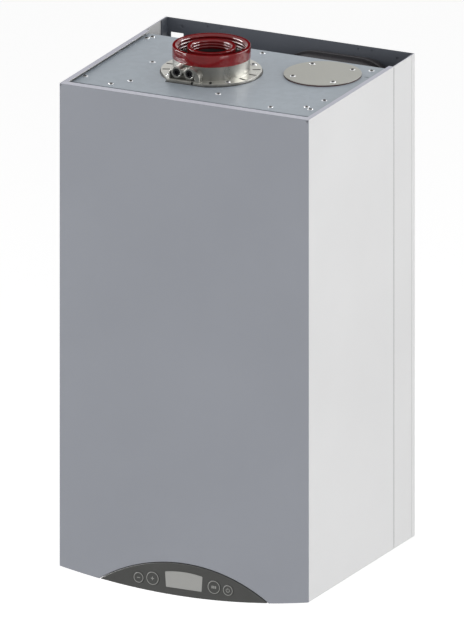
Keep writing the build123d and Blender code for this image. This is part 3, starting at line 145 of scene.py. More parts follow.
floor = make_floor("floor", FLOOR_Z, FLOOR_HALF)
floor_finish = bpy.data.materials.new("pale_floor")
floor_finish.use_nodes = True
tree = floor_finish.node_tree
matt = tree.nodes["Principled BSDF"]
matt.inputs["Base Color"].default_value = (FLOOR_GREY, FLOOR_GREY, FLOOR_GREY, 1)
matt.inputs["Roughness"].default_value = 0.9
matt.inputs["Specular IOR Level"].default_value = 0.0
glow = tree.nodes.new("ShaderNodeEmission")
light_path = tree.nodes.new("ShaderNodeLightPath")
tree.links.new(light_path.outputs["Is Camera Ray"], glow.inputs["Strength"])
glow.inputs["Color"].default_value = (GLOW_GREY, GLOW_GREY, GLOW_GREY, 1)
both = tree.nodes.new("ShaderNodeAddShader")
tree.links.new(matt.outputs[0], both.inputs[0])
tree.links.new(glow.outputs[0], both.inputs[1])
tree.links.new(both.outputs[0], tree.nodes["Material Output"].inputs["Surface"])
floor.data.materials.append(floor_finish)
print("floor at", FLOOR_Z)

# %% [markdown]
# Three soft lamps add a little direction: the strongest on the right, one on the left and one behind the
# flue. Two wide glint panels hang at the sides. Matt surfaces do not see them, so they add no light there,
# but glossy ones mirror them: they draw the short white lines on the lips of the red seals.


# %% Hang the lamps
def hang_lamp(name, place, aim, width, height, watts, matt=True):
    """A soft rectangular lamp aimed at a place on the boiler; matt=False keeps it to glossy surfaces."""
    lamp = bpy.data.objects.new(name, bpy.data.lights.new(name, "AREA"))
    lamp.data.shape = "RECTANGLE"
    lamp.data.size = width
    lamp.data.size_y = height
    lamp.data.energy = watts
    lamp.location = place
    lamp.rotation_mode = "QUATERNION"
    lamp.rotation_quaternion = (Vector(aim) - Vector(place)).to_track_quat("-Z", "Y")
    lamp.visible_diffuse = matt
    bpy.context.scene.collection.objects.link(lamp)


MIDDLE = (0.0, -0.18, 0.45)
FLUE_TOP = (-0.033, -0.198, 0.78)
hang_lamp("key_lamp", (4.6, -2.5, 1.2), MIDDLE, 2.4, 2.4, 78)
hang_lamp("left_lamp", (-2.4, -1.6, 1.0), MIDDLE, 0.6, 1.6, 16)
hang_lamp("rear_lamp", (0.8, 2.2, 2.4), MIDDLE, 1.2, 0.8, 10)
hang_lamp("glint_panel_right", (1.85, 1.15, 1.2), FLUE_TOP, 2.1, 1.2, 190, matt=False)
hang_lamp("glint_panel_left", (-2.4, -0.75, 1.2), FLUE_TOP, 2.1, 1.2, 240, matt=False)

# %% [markdown]
# ## Finishes
# Every finish is a small tree of nodes round one Principled shader. Noise is read at the point of the object
# itself, in metres, so a scale of 900 means grains of about a millimetre, and the pattern rides along when a
# piece moves. A plain number goes straight on the shader. Each finish is kept under its own name, which for
# most of them is the name of the material slot that wears it.


# %% Tools for finishes
finishes = {}


def keep(make, name, *values, **options):
    """Makes a finish and keeps it under its name."""
    finishes[name] = make(name, *values, **options)


def start_finish(name, colour, roughness, metallic=0.0):
    """A new material with its plain values set: the material, its node tree and its shader."""
    finish = bpy.data.materials.new(name)
    finish.use_nodes = True
    tree = finish.node_tree
    shader = tree.nodes["Principled BSDF"]
    shader.inputs["Base Color"].default_value = (*colour, 1)
    shader.inputs["Roughness"].default_value = roughness
    shader.inputs["Metallic"].default_value = metallic
    return finish, tree, shader


def point(tree, stretch=(1, 1, 1)):
    """The place on the object, stretched along its axes."""
    place = tree.nodes.new("ShaderNodeTexCoord")
    mapping = tree.nodes.new("ShaderNodeMapping")
    mapping.inputs["Scale"].default_value = stretch
    tree.links.new(place.outputs["Object"], mapping.inputs["Vector"])
    return mapping.outputs["Vector"]


def noise(tree, place, scale, detail=2.0):
    """Soft noise from 0 to 1."""
    node = tree.nodes.new("ShaderNodeTexNoise")
    node.inputs["Scale"].default_value = scale
    node.inputs["Detail"].default_value = detail
    tree.links.new(place, node.inputs["Vector"])
    return node.outputs["Fac"]


def spread(tree, value, low, high, start=0.3, end=0.7):
    """Turns the span from start to end of a value into the span from low to high."""
    node = tree.nodes.new("ShaderNodeMapRange")
    node.inputs["From Min"].default_value = start
    node.inputs["From Max"].default_value = end
    node.inputs["To Min"].default_value = low
    node.inputs["To Max"].default_value = high
    tree.links.new(value, node.inputs["Value"])
    return node.outputs["Result"]


def tint(tree, shader, value, dark, light):
    """Lets the colour wander between two colours."""
    ramp = tree.nodes.new("ShaderNodeValToRGB")
    ramp.color_ramp.elements[0].position = 0.3
    ramp.color_ramp.elements[0].color = (*dark, 1)
    ramp.color_ramp.elements[1].position = 0.7
    ramp.color_ramp.elements[1].color = (*light, 1)
    tree.links.new(value, ramp.inputs["Fac"])
    tree.links.new(ramp.outputs["Color"], shader.inputs["Base Color"])


def relief(tree, shader, value, depth, strength=1.0, soft_edge=0.0):
    """Bumps of a depth in metres, and if wanted edges that look rounded."""
    bump = tree.nodes.new("ShaderNodeBump")
    bump.inputs["Strength"].default_value = strength
    bump.inputs["Distance"].default_value = depth
    tree.links.new(value, bump.inputs["Height"])
    if soft_edge:
        bevel = tree.nodes.new("ShaderNodeBevel")
        bevel.samples = 4
        bevel.inputs["Radius"].default_value = soft_edge
        tree.links.new(bevel.outputs["Normal"], bump.inputs["Normal"])
    tree.links.new(bump.outputs["Normal"], shader.inputs["Normal"])


def shade(colour, factor):
    """The same colour, darker or lighter."""
    return tuple(min(1.0, c * factor) for c in colour)


def facing_up(tree, low, high, start, end):
    """A value that goes from low to high as a face turns to look straight up."""
    place = tree.nodes.new("ShaderNodeTexCoord")
    split = tree.nodes.new("ShaderNodeSeparateXYZ")
    tree.links.new(place.outputs["Normal"], split.inputs["Vector"])
    return spread(tree, split.outputs["Z"], low, high, start, end)


def paint_light_on_tops(tree, shader, colour):
    """Painted light and shade: another colour on the faces that look straight up, for the light that falls on
    them from above.
    """
    mix = tree.nodes.new("ShaderNodeMix")
    mix.data_type = "RGBA"
    tree.links.new(facing_up(tree, 0.0, 1.0, 0.8, 0.95), mix.inputs["Factor"])
    tree.links.new(shader.inputs["Base Color"].links[0].from_socket, mix.inputs["A"])
    mix.inputs["B"].default_value = (*colour, 1)
    tree.links.new(mix.outputs["Result"], shader.inputs["Base Color"])


def dull_tops(tree, shader, gloss, dull):
    """Less shine on the faces that look straight up, where dust and fingers dull them."""
    tree.links.new(facing_up(tree, gloss, dull, 0.85, 0.98), shader.inputs["Specular IOR Level"])


print("finish tools ready")

# %% [markdown]
# ### Powder coat
# The casing is baked powder paint. Seen close it has a fine orange peel, a few tenths of a millimetre across
# and only microns deep, and its gloss drifts a little over a large panel. Two noises do this, one fine for the
# relief and one broad for the gloss. On the grey front and the white sides, faces that look up get one pale
# grey. This is painted light and shade for the light from above: paler than the front's grey and darker than
# the sides' white.


# %% Powder coats
def powder_coat(name, colour, roughness, drift=0.015, peel=0.00003, primer=None, shine=0.2):
    """Baked paint on sheet metal, with painted light and shade in a given colour on faces that look up."""
    finish, tree, shader = start_finish(name, colour, roughness)
    shader.inputs["Specular IOR Level"].default_value = shine
    place = point(tree)
    broad = noise(tree, place, 5.0)
    tint(tree, shader, broad, shade(colour, 1 - drift), shade(colour, 1 + drift))
    tree.links.new(spread(tree, broad, roughness - 0.04, roughness + 0.04), shader.inputs["Roughness"])
    relief(tree, shader, noise(tree, place, 1300.0), peel, 0.6, soft_edge=0.0007)
    if primer:
        paint_light_on_tops(tree, shader, primer)
    return finish


# Painted light and shade: the colour of upward faces on the casing panels, paler than the grey and darker than
# the white.
PAINTED_TOP_TONE = (0.6, 0.605, 0.68)
# Painted shade: the front panel's silver grey stands for the casing's white in the shade on the front, while
# the sides face the light.
keep(powder_coat, "silver_grey_paint", (0.312, 0.326, 0.362), 0.44, primer=PAINTED_TOP_TONE)
keep(powder_coat, "white_paint", (0.748, 0.748, 0.75), 0.5, primer=PAINTED_TOP_TONE, shine=0.04)
keep(powder_coat, "slate_coat", (0.11, 0.121, 0.144), 0.5, drift=0.12)
keep(powder_coat, "cream_plate", (0.475, 0.475, 0.435), 0.5, drift=0.03)
keep(powder_coat, "vessel_paint", (0.028, 0.026, 0.03), 0.6, drift=0.08)
print("powder coats:", len(finishes))


# %% [markdown]
# ### Zinc-coated sheet
# Hot-dip zinc freezes into flat crystals, the spangle, each with its own faint tone, and the rolls leave
# straight hairlines along the sheet. Voronoi cells give the spangle, and noise stretched along one axis
# gives the hairlines.


# %% Zinc-coated sheet
def zinc(name, colour, roughness, spangle=0.025):
    """Zinc-coated steel sheet."""
    finish, tree, shader = start_finish(name, colour, roughness, metallic=0.15)
    crystals = tree.nodes.new("ShaderNodeTexVoronoi")
    crystals.inputs["Scale"].default_value = 110.0
    tree.links.new(point(tree), crystals.inputs["Vector"])
    grey = tree.nodes.new("ShaderNodeSeparateColor")
    tree.links.new(crystals.outputs["Color"], grey.inputs["Color"])
    tint(tree, shader, grey.outputs[0], shade(colour, 1 - spangle), shade(colour, 1 + spangle))
    hairlines = noise(tree, point(tree, (12, 700, 700)), 1.0, 3.0)
    tree.links.new(spread(tree, hairlines, roughness - 0.04, roughness + 0.05), shader.inputs["Roughness"])
    relief(tree, shader, hairlines, 0.000002, 0.3, soft_edge=0.0004)
    return finish


keep(zinc, "zinc_sheet", (0.33, 0.375, 0.42), 0.46)
print("zinc finish ready")


# %% [markdown]
# ### Cast alloy
# A die casting is dull and slightly grainy, with darker flow marks. Here the grain is a fine noise in the
# relief, and a broad one darkens the colour in patches. Faces that look up, such as the upper side of the
# flange, get a much brighter colour than the walls: painted light, for the light that falls on them from
# above.


# %% Cast alloy
def cast_alloy(name, colour, painted_top_light, roughness, metallic):
    """Die-cast light alloy, with painted light in a brighter colour on faces that look up."""
    finish, tree, shader = start_finish(name, colour, roughness, metallic)
    place = point(tree)
    flow = noise(tree, place, 45.0, 4.0)
    tint(tree, shader, flow, shade(colour, 0.88), shade(colour, 1.06))
    tree.links.new(spread(tree, flow, roughness - 0.06, roughness + 0.1), shader.inputs["Roughness"])
    relief(tree, shader, noise(tree, place, 1500.0, 3.0), 0.00004, 0.7, soft_edge=0.0006)
    # Painted light: faces that look up take the brighter colour.
    paint_light_on_tops(tree, shader, painted_top_light)
    return finish


# The second colour is painted light for the faces that look up.
keep(cast_alloy, "cast_alloy", (0.2, 0.197, 0.18), (0.49, 0.485, 0.45), 0.32, 0.7)
print("cast alloy ready")


# %% [markdown]
# ### Rubber and silicone
# The seals are glossy red silicone, which lets a little light in below its skin. The gaskets, the hose and the
# sampling plugs are dull black rubber with a fine mould texture and a trace of pale dust. The black strips in
# the gaps are painted shade, with no shine at all.


# %% Rubber and silicone
def silicone(name, colour):
    """Glossy moulded silicone, dull on top."""
    finish, tree, shader = start_finish(name, colour, roughness=0.1)
    dull_tops(tree, shader, gloss=0.45, dull=0.0)
    flow = noise(tree, point(tree), 60.0)
    tint(tree, shader, flow, shade(colour, 0.85), shade(colour, 1.1))
    shader.inputs["Subsurface Weight"].default_value = 0.08
    shader.inputs["Subsurface Radius"].default_value = (0.003, 0.0006, 0.0005)
    relief(tree, shader, flow, 0.00002, 0.3)
    return finish


def rubber(name, colour, roughness, shine=0.5):
    """Dull moulded rubber."""
    finish, tree, shader = start_finish(name, colour, roughness)
    shader.inputs["Specular IOR Level"].default_value = shine
    place = point(tree)
    dust = noise(tree, place, 120.0, 4.0)
    tint(tree, shader, dust, colour, shade(colour, 1.7))
    tree.links.new(spread(tree, dust, roughness - 0.08, roughness + 0.08), shader.inputs["Roughness"])
    relief(tree, shader, noise(tree, place, 2200.0), 0.00004, 0.7, soft_edge=0.0004)
    return finish


keep(silicone, "red_seal", (0.19, 0.008, 0.01))
keep(rubber, "black_rubber", (0.017, 0.017, 0.018), 0.62)
keep(rubber, "black_plug", (0.009, 0.009, 0.01), 0.7, shine=0.08)
# Painted shade: the blanking gasket's red silicone, darkened for the shade under the plate's edge.
keep(rubber, "dark_silicone", (0.045, 0.011, 0.011), 0.6, shine=0.3)
# Painted shade: a black with no shine for the strips in the casing's gaps.
keep(rubber, "black_foam", (0.009, 0.009, 0.01), 0.85, shine=0.0)
print("rubbers ready")


# %% [markdown]
# ### Moulded plastics
# Moulded housings have a spark-eroded grain from the tool: an even, pebbly relief of about half a millimetre.
# A Voronoi distance gives pebbles, a little noise breaks their order.


# %% Moulded plastics
def moulded(name, colour, roughness, grain=1600.0, depth=0.00003, drift=0.05):
    """Moulded plastic with an eroded grain."""
    finish, tree, shader = start_finish(name, colour, roughness)
    place = point(tree)
    pebbles = tree.nodes.new("ShaderNodeTexVoronoi")
    pebbles.inputs["Scale"].default_value = grain
    tree.links.new(place, pebbles.inputs["Vector"])
    wander = noise(tree, place, 24.0, 3.0)
    tint(tree, shader, wander, shade(colour, 1 - drift), shade(colour, 1 + drift))
    tree.links.new(spread(tree, wander, roughness - 0.05, roughness + 0.05), shader.inputs["Roughness"])
    relief(tree, shader, pebbles.outputs["Distance"], depth, 0.6, soft_edge=0.0005)
    return finish


keep(moulded, "fascia_plastic", (0.045, 0.046, 0.043), 0.46, drift=0.02)
keep(moulded, "button_plastic", (0.042, 0.043, 0.04), 0.42, drift=0.02)
keep(moulded, "box_plastic", (0.16, 0.16, 0.165), 0.5)
keep(moulded, "dark_duct", (0.035, 0.028, 0.028), 0.42)
keep(moulded, "drum_plastic", (0.05, 0.05, 0.055), 0.48)
keep(moulded, "composite_black", (0.026, 0.026, 0.029), 0.4, grain=900.0)
keep(moulded, "motor_black", (0.018, 0.018, 0.02), 0.3)
keep(moulded, "red_knob", (0.42, 0.018, 0.016), 0.32)
keep(moulded, "trap_plastic", (0.6, 0.6, 0.57), 0.38)
keep(moulded, "ceramic_white", (0.78, 0.77, 0.72), 0.2, depth=0.00001)
keep(moulded, "display_window", (0.37, 0.37, 0.355), 0.14, depth=0.000004, drift=0.01)
print("plastics ready")


# %% [markdown]
# ### Bright metals
# Drawn copper, turned brass and rolled stainless steel are full metals. Copper browns in clouds, and the
# others keep fine tool marks.


# %% Bright metals
def bright_metal(name, colour, tarnish, roughness, lines=(300, 300, 300)):
    """A bare metal whose colour wanders towards its tarnish."""
    finish, tree, shader = start_finish(name, colour, roughness, metallic=1.0)
    clouds = noise(tree, point(tree), 18.0, 5.0)
    tint(tree, shader, clouds, tarnish, colour)
    marks = noise(tree, point(tree, lines), 4.0, 2.0)
    tree.links.new(spread(tree, marks, roughness - 0.07, roughness + 0.1), shader.inputs["Roughness"])
    relief(tree, shader, marks, 0.00001, 0.4, soft_edge=0.0004)
    return finish


keep(bright_metal, "stainless_steel", (0.62, 0.61, 0.6), (0.5, 0.48, 0.45), 0.25)
keep(bright_metal, "copper_pipe", (0.82, 0.4, 0.25), (0.5, 0.24, 0.15), 0.25, (60, 60, 900))
keep(bright_metal, "brass", (0.72, 0.54, 0.25), (0.55, 0.38, 0.16), 0.24, (60, 60, 900))
keep(bright_metal, "dark_screw", (0.09, 0.088, 0.085), (0.04, 0.04, 0.042), 0.34)
keep(bright_metal, "bright_zinc", (0.84, 0.85, 0.86), (0.7, 0.71, 0.73), 0.4)
print("metals ready")


# %% [markdown]
# ### Circuit boards
# A board is green solder mask with paler copper tracks below it, and everything that stands on it is dark.
# Rectangular tracks come from a brick texture, whose mortar lines are the gaps.


# %% Circuit board
def circuit_board(name, mask, track):
    """Green board with tracks that show through."""
    finish, tree, shader = start_finish(name, mask, 0.32)
    bricks = tree.nodes.new("ShaderNodeTexBrick")
    bricks.inputs["Scale"].default_value = 160.0
    bricks.inputs["Mortar Size"].default_value = 0.06
    bricks.inputs["Color1"].default_value = (*mask, 1)
    bricks.inputs["Color2"].default_value = (*shade(mask, 0.8), 1)
    bricks.inputs["Mortar"].default_value = (*track, 1)
    tree.links.new(point(tree), bricks.inputs["Vector"])
    tree.links.new(bricks.outputs["Color"], shader.inputs["Base Color"])
    relief(tree, shader, bricks.outputs["Fac"], 0.00003, 0.5, soft_edge=0.0003)
    return finish


keep(circuit_board, "circuit_board", (0.02, 0.14, 0.06), (0.08, 0.3, 0.12))
print("finishes:", len(finishes))

# %% [markdown]
# ## Finish for every solid
# The record names a material slot for each node, so one loop dresses them all. The flat gasket of the blanking
# plate gets a duller silicone than the lip seals, and a darker red: painted shade, for the shade that lies
# under the edge of the plate.

# %% Dress the solids
slots = {part["node"]: part["material_slot"] for part in frame["record"]["subparts"]}


def dress(piece, finish):
    """Gives every face of a piece one finish."""
    if not piece.data.materials:
        piece.data.materials.append(finish)
    for holder in piece.material_slots:
        holder.link = "OBJECT"
        holder.material = finish


for node, piece in frame["nodes"].items():
    dress(piece, finishes[slots[node]])
# Painted shade: the blanking gasket gets the darkened red.
dress(frame["nodes"]["blanking_gasket"], finishes["dark_silicone"])
print("dressed", len(slots), "nodes")

# %% [markdown]
# ## Turned pieces
# Seals and washers are turned shapes: one outline, spun round an axis. A small helper spins a list of
# (radius, height) pairs into a closed ring of faces, smooth round the axis and crisp at its corners. Another
# makes an object of a finished bmesh, and serves for every new piece from here on.


# %% Helpers that spin an outline and make a piece
CRISP_CORNER = math.radians(38)


def make_piece(name, shape):
    """An object of the scene, made from a bmesh that is then let go."""
    mesh = bpy.data.meshes.new(name)
    shape.to_mesh(mesh)
    shape.free()
    piece = bpy.data.objects.new(name, mesh)
    bpy.context.scene.collection.objects.link(piece)
    return piece


def spin(name, outline, centre, steps=160):
    """A ring of faces from an outline of (radius, height) pairs about a vertical axis."""
    shape = bmesh.new()
    rings = []
    for i in range(steps):
        angle = 2 * math.pi * i / steps
        rings.append([
            shape.verts.new((centre[0] + r * math.cos(angle), centre[1] + r * math.sin(angle), centre[2] + h))
            for r, h in outline
        ])
    for i in range(steps):
        here, there = rings[i], rings[(i + 1) % steps]
        for j in range(len(outline)):
            k = (j + 1) % len(outline)
            shape.faces.new((here[j], there[j], there[k], here[k]))
    bmesh.ops.recalc_face_normals(shape, faces=shape.faces)
    for face in shape.faces:
        face.smooth = True
    for edge in shape.edges:
        if len(edge.link_faces) == 2 and edge.calc_face_angle() > CRISP_CORNER:
            edge.smooth = False
    return make_piece(name, shape)


print("spin ready")

# %% [markdown]
# ### The red seals of the flue
# The real seals are lip seals: inside, three soft lips lean inwards and grip the duct, and the outer faces
# are smooth with rounded corners. The solids are plain rings, so turned pieces with lips stand for them. Each
# lip is an arc, so that it catches a lamp as one bright line. The inner seal has a thin foot that lines the
# top of the flue tube, and its three lips run down over it.

# %% Red lip seals
CORNER_STEPS = 4
LIP_STEPS = 6
FOOT_WALL = 0.05


def lip_outline(outer, bore, low, high, lips, corner, valley, foot=0.0):
    """The outline of a lip seal in mm: outer wall, rounded rim, lips down the inside, and a foot below."""
    outline = [(outer, low), (outer, high - corner)]
    for step in range(1, CORNER_STEPS + 1):
        a = math.pi / 2 * step / CORNER_STEPS
        outline.append((outer - corner + corner * math.cos(a), high - corner + corner * math.sin(a)))
    span = high - low + foot - 2 * corner
    outline.append((bore + valley + corner, high))
    for lip in range(lips):
        top = high - corner - span * lip / lips
        for step in range(LIP_STEPS + 1):
            a = math.pi * step / LIP_STEPS
            outline.append((bore + valley * (1 - math.sin(a)), top - span / lips * (1 - math.cos(a)) / 2))
    if foot:
        wall = bore + valley + FOOT_WALL
        outline += [(bore + valley, low - foot), (wall, low - foot), (wall, low)]
    else:
        outline.append((bore + valley + corner / 2, low))
    return [(r / 1000, h / 1000) for r, h in outline]


FLUE = (-0.0334, -0.198)
OUTER_LIPS = lip_outline(outer=58.25, bore=50.0, low=0.0, high=17.4, lips=3, corner=0.6, valley=3.0)
INNER_LIPS = lip_outline(outer=36.35, bore=29.2, low=0.0, high=8.0, lips=3, corner=0.6, valley=1.3, foot=6.2)
outer_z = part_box("flue_seal_outer")[0][2]
outer_seal = spin("lip_seal_outer", OUTER_LIPS, (*FLUE, outer_z))
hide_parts("flue_seal_outer")
inner_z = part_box("flue_seal_inner")[0][2]
inner_seal = spin("lip_seal_inner", INNER_LIPS, (*FLUE, inner_z))
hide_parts("flue_seal_inner")
for seal in (outer_seal, inner_seal):
    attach(seal, "boiler")
    dress(seal, finishes["red_seal"])
print("seal faces:", len(outer_seal.data.polygons), len(inner_seal.data.polygons))

# %% [markdown]
# ### Washers
# Each sheet screw on the top shows a thin pale rim round its dark head, read here as a pressed-on washer of
# bright zinc. All the screws are one node, and its mesh comes in loose pieces, several to a screw. The loop
# walks along the edges to find the pieces, and gathers those that lie in one cell of a 5 mm grid. This is
# simple but has a fault: a screw whose pieces lie in two or more cells gets as many washers. Each of the 21
# screws has one washer on its axis, and 17 of them have one to three more, 0.8 to 1.3 mm aside, which makes
# 44. A surer way would be to gather the pieces by how near they are to each other, with no grid.

# %% Washers under the screw heads
HEAD_RADIUS = 0.0026
HEAD_HEIGHT = 0.0016
CELLS_PER_METRE = 200


def loose_pieces(mesh):
    """The points of each loose piece; pieces whose root points round to the same millimetre count as one."""
    group = list(range(len(mesh.vertices)))

    def root(i):
        while group[i] != i:
            group[i] = group[group[i]]
            i = group[i]
        return i

    for a, b in (edge.vertices for edge in mesh.edges):
        group[root(a)] = root(b)
    pieces = {}
    for vertex in mesh.vertices:
        key = tuple(round(1000 * v) for v in mesh.vertices[root(vertex.index)].co)
        pieces.setdefault(key, []).append(vertex.co)
    return list(pieces.values())


def screw_seats():
    """Washer seats: the middle of each cell's highest loose piece, one head's height below its top.

    A screw whose pieces lie in more than one cell gets more than one seat."""
    columns = {}
    for points in loose_pieces(frame["nodes"]["sheet_screws"].data):
        middle = [(min(p[k] for p in points) + max(p[k] for p in points)) / 2 for k in (0, 1)]
        key = (round(middle[0] * CELLS_PER_METRE), round(middle[1] * CELLS_PER_METRE))
        top = max(p[2] for p in points)
        if key not in columns or top > columns[key][2]:
            columns[key] = (middle[0], middle[1], top)
    return [(x, y, top - HEAD_HEIGHT) for x, y, top in columns.values()]


WASHER = [(HEAD_RADIUS + beyond, height) for beyond, height in (
    (0.00005, 0.00002), (0.0014, 0.00002), (0.0015, 0.00018), (0.0012, 0.0003), (0.00005, 0.0004))]
seats = screw_seats()
for i, seat in enumerate(seats):
    washer = spin(f"washer_{i + 1:02d}", WASHER, seat, steps=24)
    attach(washer, "boiler")
    dress(washer, finishes["bright_zinc"])
print("washers:", len(seats))

# %% [markdown]
# ### Strips of painted shade
# Thin black strips lie in the gaps of the casing: one down each seam between side panel and rear frame, and
# one in the gap over the fascia. They are painted shade: dark pieces put where the gaps lie in shade, so that
# the gaps read as dark lines. A strip follows a row of points, with a section that is a circle of points cut
# flat on four sides. Just below the surface it looks dark from the side too, where a deeper one would show the
# gap's lit wall.

# %% Strips of painted shade in the gaps
SECTION_STEPS = 12
FLAT_SIDE = 0.8


def flattened(value):
    """A sine or cosine with its peaks cut off, brought back to the range from -1 to 1."""
    return max(-FLAT_SIDE, min(FLAT_SIDE, value)) / FLAT_SIDE


def shade_strip(name, points, across, deep, width, depth):
    """A strip along a row of points; across and deep give the directions of its section."""
    shape = bmesh.new()
    rows = []
    for spot, side in zip(points, across):
        section = []
        for k in range(SECTION_STEPS):
            a = 2 * math.pi * k / SECTION_STEPS
            aside = Vector(side) * (width / 2 * flattened(math.cos(a)))
            in_depth = Vector(deep) * (depth / 2 * flattened(math.sin(a)))
            section.append(shape.verts.new(Vector(spot) + aside + in_depth))
        rows.append(section)
    for here, there in zip(rows, rows[1:]):
        for k in range(SECTION_STEPS):
            after = (k + 1) % SECTION_STEPS
            shape.faces.new((here[k], there[k], there[after], here[after]))
    shape.faces.new(rows[0])
    shape.faces.new(rows[-1])
    bmesh.ops.recalc_face_normals(shape, faces=shape.faces)
    strip = make_piece(name, shape)
    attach(strip, "boiler")
    # Painted shade: the strip is black so that its gap reads as a dark line.
    dress(strip, finishes["black_foam"])


SEAM_WIDTH = 0.0012
SEAM_SINK = 0.00045
SHORT_OF_END = 0.002
SEAM_PARTS = 8
for side, word in ((-1, "left"), (1, "right")):
    low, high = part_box("side_panel_" + word)
    x = side * (max(abs(low[0]), abs(high[0])) - SEAM_SINK)
    y = high[1] + SEAM_WIDTH / 2
    length = high[2] - low[2] - 2 * SHORT_OF_END
    rows = [(x, y, low[2] + SHORT_OF_END + i * length / SEAM_PARTS) for i in range(SEAM_PARTS + 1)]
    shade_strip("seam_shade_strip_" + word, rows, [(0, 1, 0)] * len(rows), (1, 0, 0), width=0.0011, depth=0.0008)

FASCIA_TOP, FASCIA_R, GAP_R = 0.0324, 0.25, 0.2497
ARC_CENTRE_Z = FASCIA_TOP - FASCIA_R
PANEL_SHEET = 0.0012
STRIP_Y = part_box("front_panel")[0][1] + PANEL_SHEET - 0.0005
ARC_HALF, ARC_PARTS = 34.15, 60
turns = [math.radians(-ARC_HALF + 2 * ARC_HALF * i / ARC_PARTS) for i in range(ARC_PARTS + 1)]
shade_strip("fascia_shade_strip", [(GAP_R * math.sin(a), STRIP_Y, ARC_CENTRE_Z + GAP_R * math.cos(a)) for a in turns],
           [(math.sin(a), 0, math.cos(a)) for a in turns], (0, 1, 0), width=0.0004, depth=0.001)

# %% [markdown]
# ### Signs on the buttons
# Each button has a pale printed ring and a plain sign. They are flat shapes, laid a few hundredths of a
# millimetre proud of the button's face. A shape here is a list of corner points in the plane of the front,
# filled by bmesh and given a little thickness.

# %% Flat signs
PRINT = start_finish("pale_print", (0.29, 0.29, 0.275), 0.5)[0]
PROUD = 0.00003
SINK = 0.00015


def ring_faces(shape, x, z, y, outer, inner, start=0.0, end=360.0, steps=48):
    """Adds a flat ring, or a part of one, to the shape."""
    whole = end - start >= 360.0
    angles = [math.radians(start + (end - start) * i / steps) for i in range(steps if whole else steps + 1)]
    pairs = [[shape.verts.new((x + r * math.cos(a), y, z + r * math.sin(a))) for r in (inner, outer)]
             for a in angles]
    count = len(pairs)
    for i in range(count if whole else count - 1):
        a, b = pairs[i], pairs[(i + 1) % count]
        shape.faces.new((a[0], a[1], b[1], b[0]))


def bar_face(shape, x, z, y, width, height):
    """Adds a flat bar with cut corners to the shape."""
    cut = min(width, height) * 0.25
    w, h = width / 2, height / 2
    corners = [(-w, -h + cut), (-w + cut, -h), (w - cut, -h), (w, -h + cut), (w, h - cut), (w - cut, h),
               (-w + cut, h), (-w, h - cut)]
    shape.faces.new([shape.verts.new((x + dx, y, z + dz)) for dx, dz in corners])


def finish_sign(name, shape, body):
    """Gives the flat shape its thickness, and lets it ride on its button."""
    bmesh.ops.recalc_face_normals(shape, faces=shape.faces)
    for face in shape.faces:
        if face.normal.y > 0:
            face.normal_flip()
    sign = make_piece(name, shape)
    thickness = sign.modifiers.new("thickness", "SOLIDIFY")
    thickness.thickness = SINK + PROUD
    thickness.offset = -1.0
    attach(sign, body)
    dress(sign, PRINT)


print("signs stand", PROUD * 1000, "mm proud")


# %% [markdown]
# Most of each sign is bars, given here by their place from the middle of the button, to the right and up, and
# by their width and height. The power sign also has a ring that is open at its top.

# %% Print the four buttons
COLLAR = 0.0012
RING_OUTSIDE, RING_INSIDE = 0.0004, 0.0014
LEVEL_BAR = (0, 0, 0.0052, 0.0011)
BARS = {
    "minus": [LEVEL_BAR],
    "plus": [LEVEL_BAR, (0, 0.0017, 0.0011, 0.0022), (0, -0.0017, 0.0011, 0.0022)],
    "mode": [(aside, 0, 0.002, 0.0044) for aside in (-0.0028, 0, 0.0028)],
    "power": [(0, 0.0022, 0.0009, 0.0034)],
}


def button_middle(node):
    """The middle of a button's face, and its radius without the hidden collar."""
    low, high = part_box(node)
    return (low[0] + high[0]) / 2, (low[2] + high[2]) / 2, low[1] - PROUD, (high[0] - low[0]) / 2 - COLLAR


for word, bars in BARS.items():
    x, z, y, radius = button_middle("button_" + word)
    shape = bmesh.new()
    ring_faces(shape, x, z, y, radius - RING_OUTSIDE, radius - RING_INSIDE)
    if word == "power":
        ring_faces(shape, x, z, y, outer=0.0032, inner=0.0023, start=125, end=415)
    for aside, above, width, height in bars:
        bar_face(shape, x + aside, z + above, y, width, height)
    finish_sign("sign_" + word, shape, word + "_button")

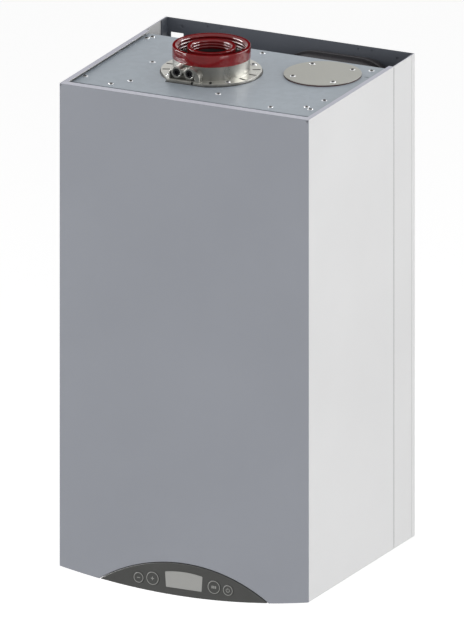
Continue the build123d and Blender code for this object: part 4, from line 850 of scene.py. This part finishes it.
# %% [markdown]
# ### Pipe threads
# The five tails below the bracket end in pipe threads of 14 turns to the inch, where the solids are plain. A
# fine ridge climbs round each tail: a strip of faces between rows of four points, one at the foot of the
# ridge, two on its crest and one at the next foot. The feet lie a little below the tail's skin.

# %% Threads on the tails
FOOT_SINK = 0.0001
CREST_START, CREST_END, NEXT_FOOT = 0.42, 0.58, 0.98


def thread(name, x, y, low, high, radius, pitch=0.001814, height=0.00055, steps=40):
    """A helical ridge round a tail, which rises over its first turn and sinks over its last."""
    shape = bmesh.new()
    turns = (high - low) / pitch - 1
    rows = []
    for i in range(int(turns * steps) + 1):
        angle = 2 * math.pi * i / steps
        z = low + pitch * i / steps
        fade = min(1.0, i / steps, (turns * steps - i) / steps)
        rows.append([
            shape.verts.new((x + r * math.cos(angle), y + r * math.sin(angle), z + dz))
            for r, dz in ((radius - FOOT_SINK, 0.0), (radius + height * fade, pitch * CREST_START),
                          (radius + height * fade, pitch * CREST_END), (radius - FOOT_SINK, pitch * NEXT_FOOT))
        ])
    for a, b in zip(rows, rows[1:]):
        for j in range(3):
            shape.faces.new((a[j], b[j], b[j + 1], a[j + 1]))
    bmesh.ops.recalc_face_normals(shape, faces=shape.faces)
    return make_piece(name, shape)


TAIL_Y, THREAD_LOW, THREAD_HIGH = -0.16, -0.0345, -0.0195
TAILS = {"flow": (-0.14, 0.0132), "hot": (-0.07, 0.01045), "gas": (0.0, 0.0132),
         "cold": (0.07, 0.01045), "return": (0.14, 0.0132)}
for word, (x, radius) in TAILS.items():
    ridge = thread("thread_" + word, x, TAIL_Y, THREAD_LOW, THREAD_HIGH, radius)
    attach(ridge, "boiler")
    slot = "copper_pipe" if word == "gas" else "composite_black"
    dress(ridge, finishes[slot])
print("threads:", len(TAILS))

# %% [markdown]
# ## Sizes
# The boxes of the solids and of the dressed boiler are compared, and the growth of each corner is printed in
# millimetres.

# %% Measure and finish
dressed_box = [list(corner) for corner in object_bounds()]
growth = [[round(1000 * (b - a), 2) for a, b in zip(*pair)] for pair in zip(cad_box, dressed_box)]
print("grown by, mm:", growth)
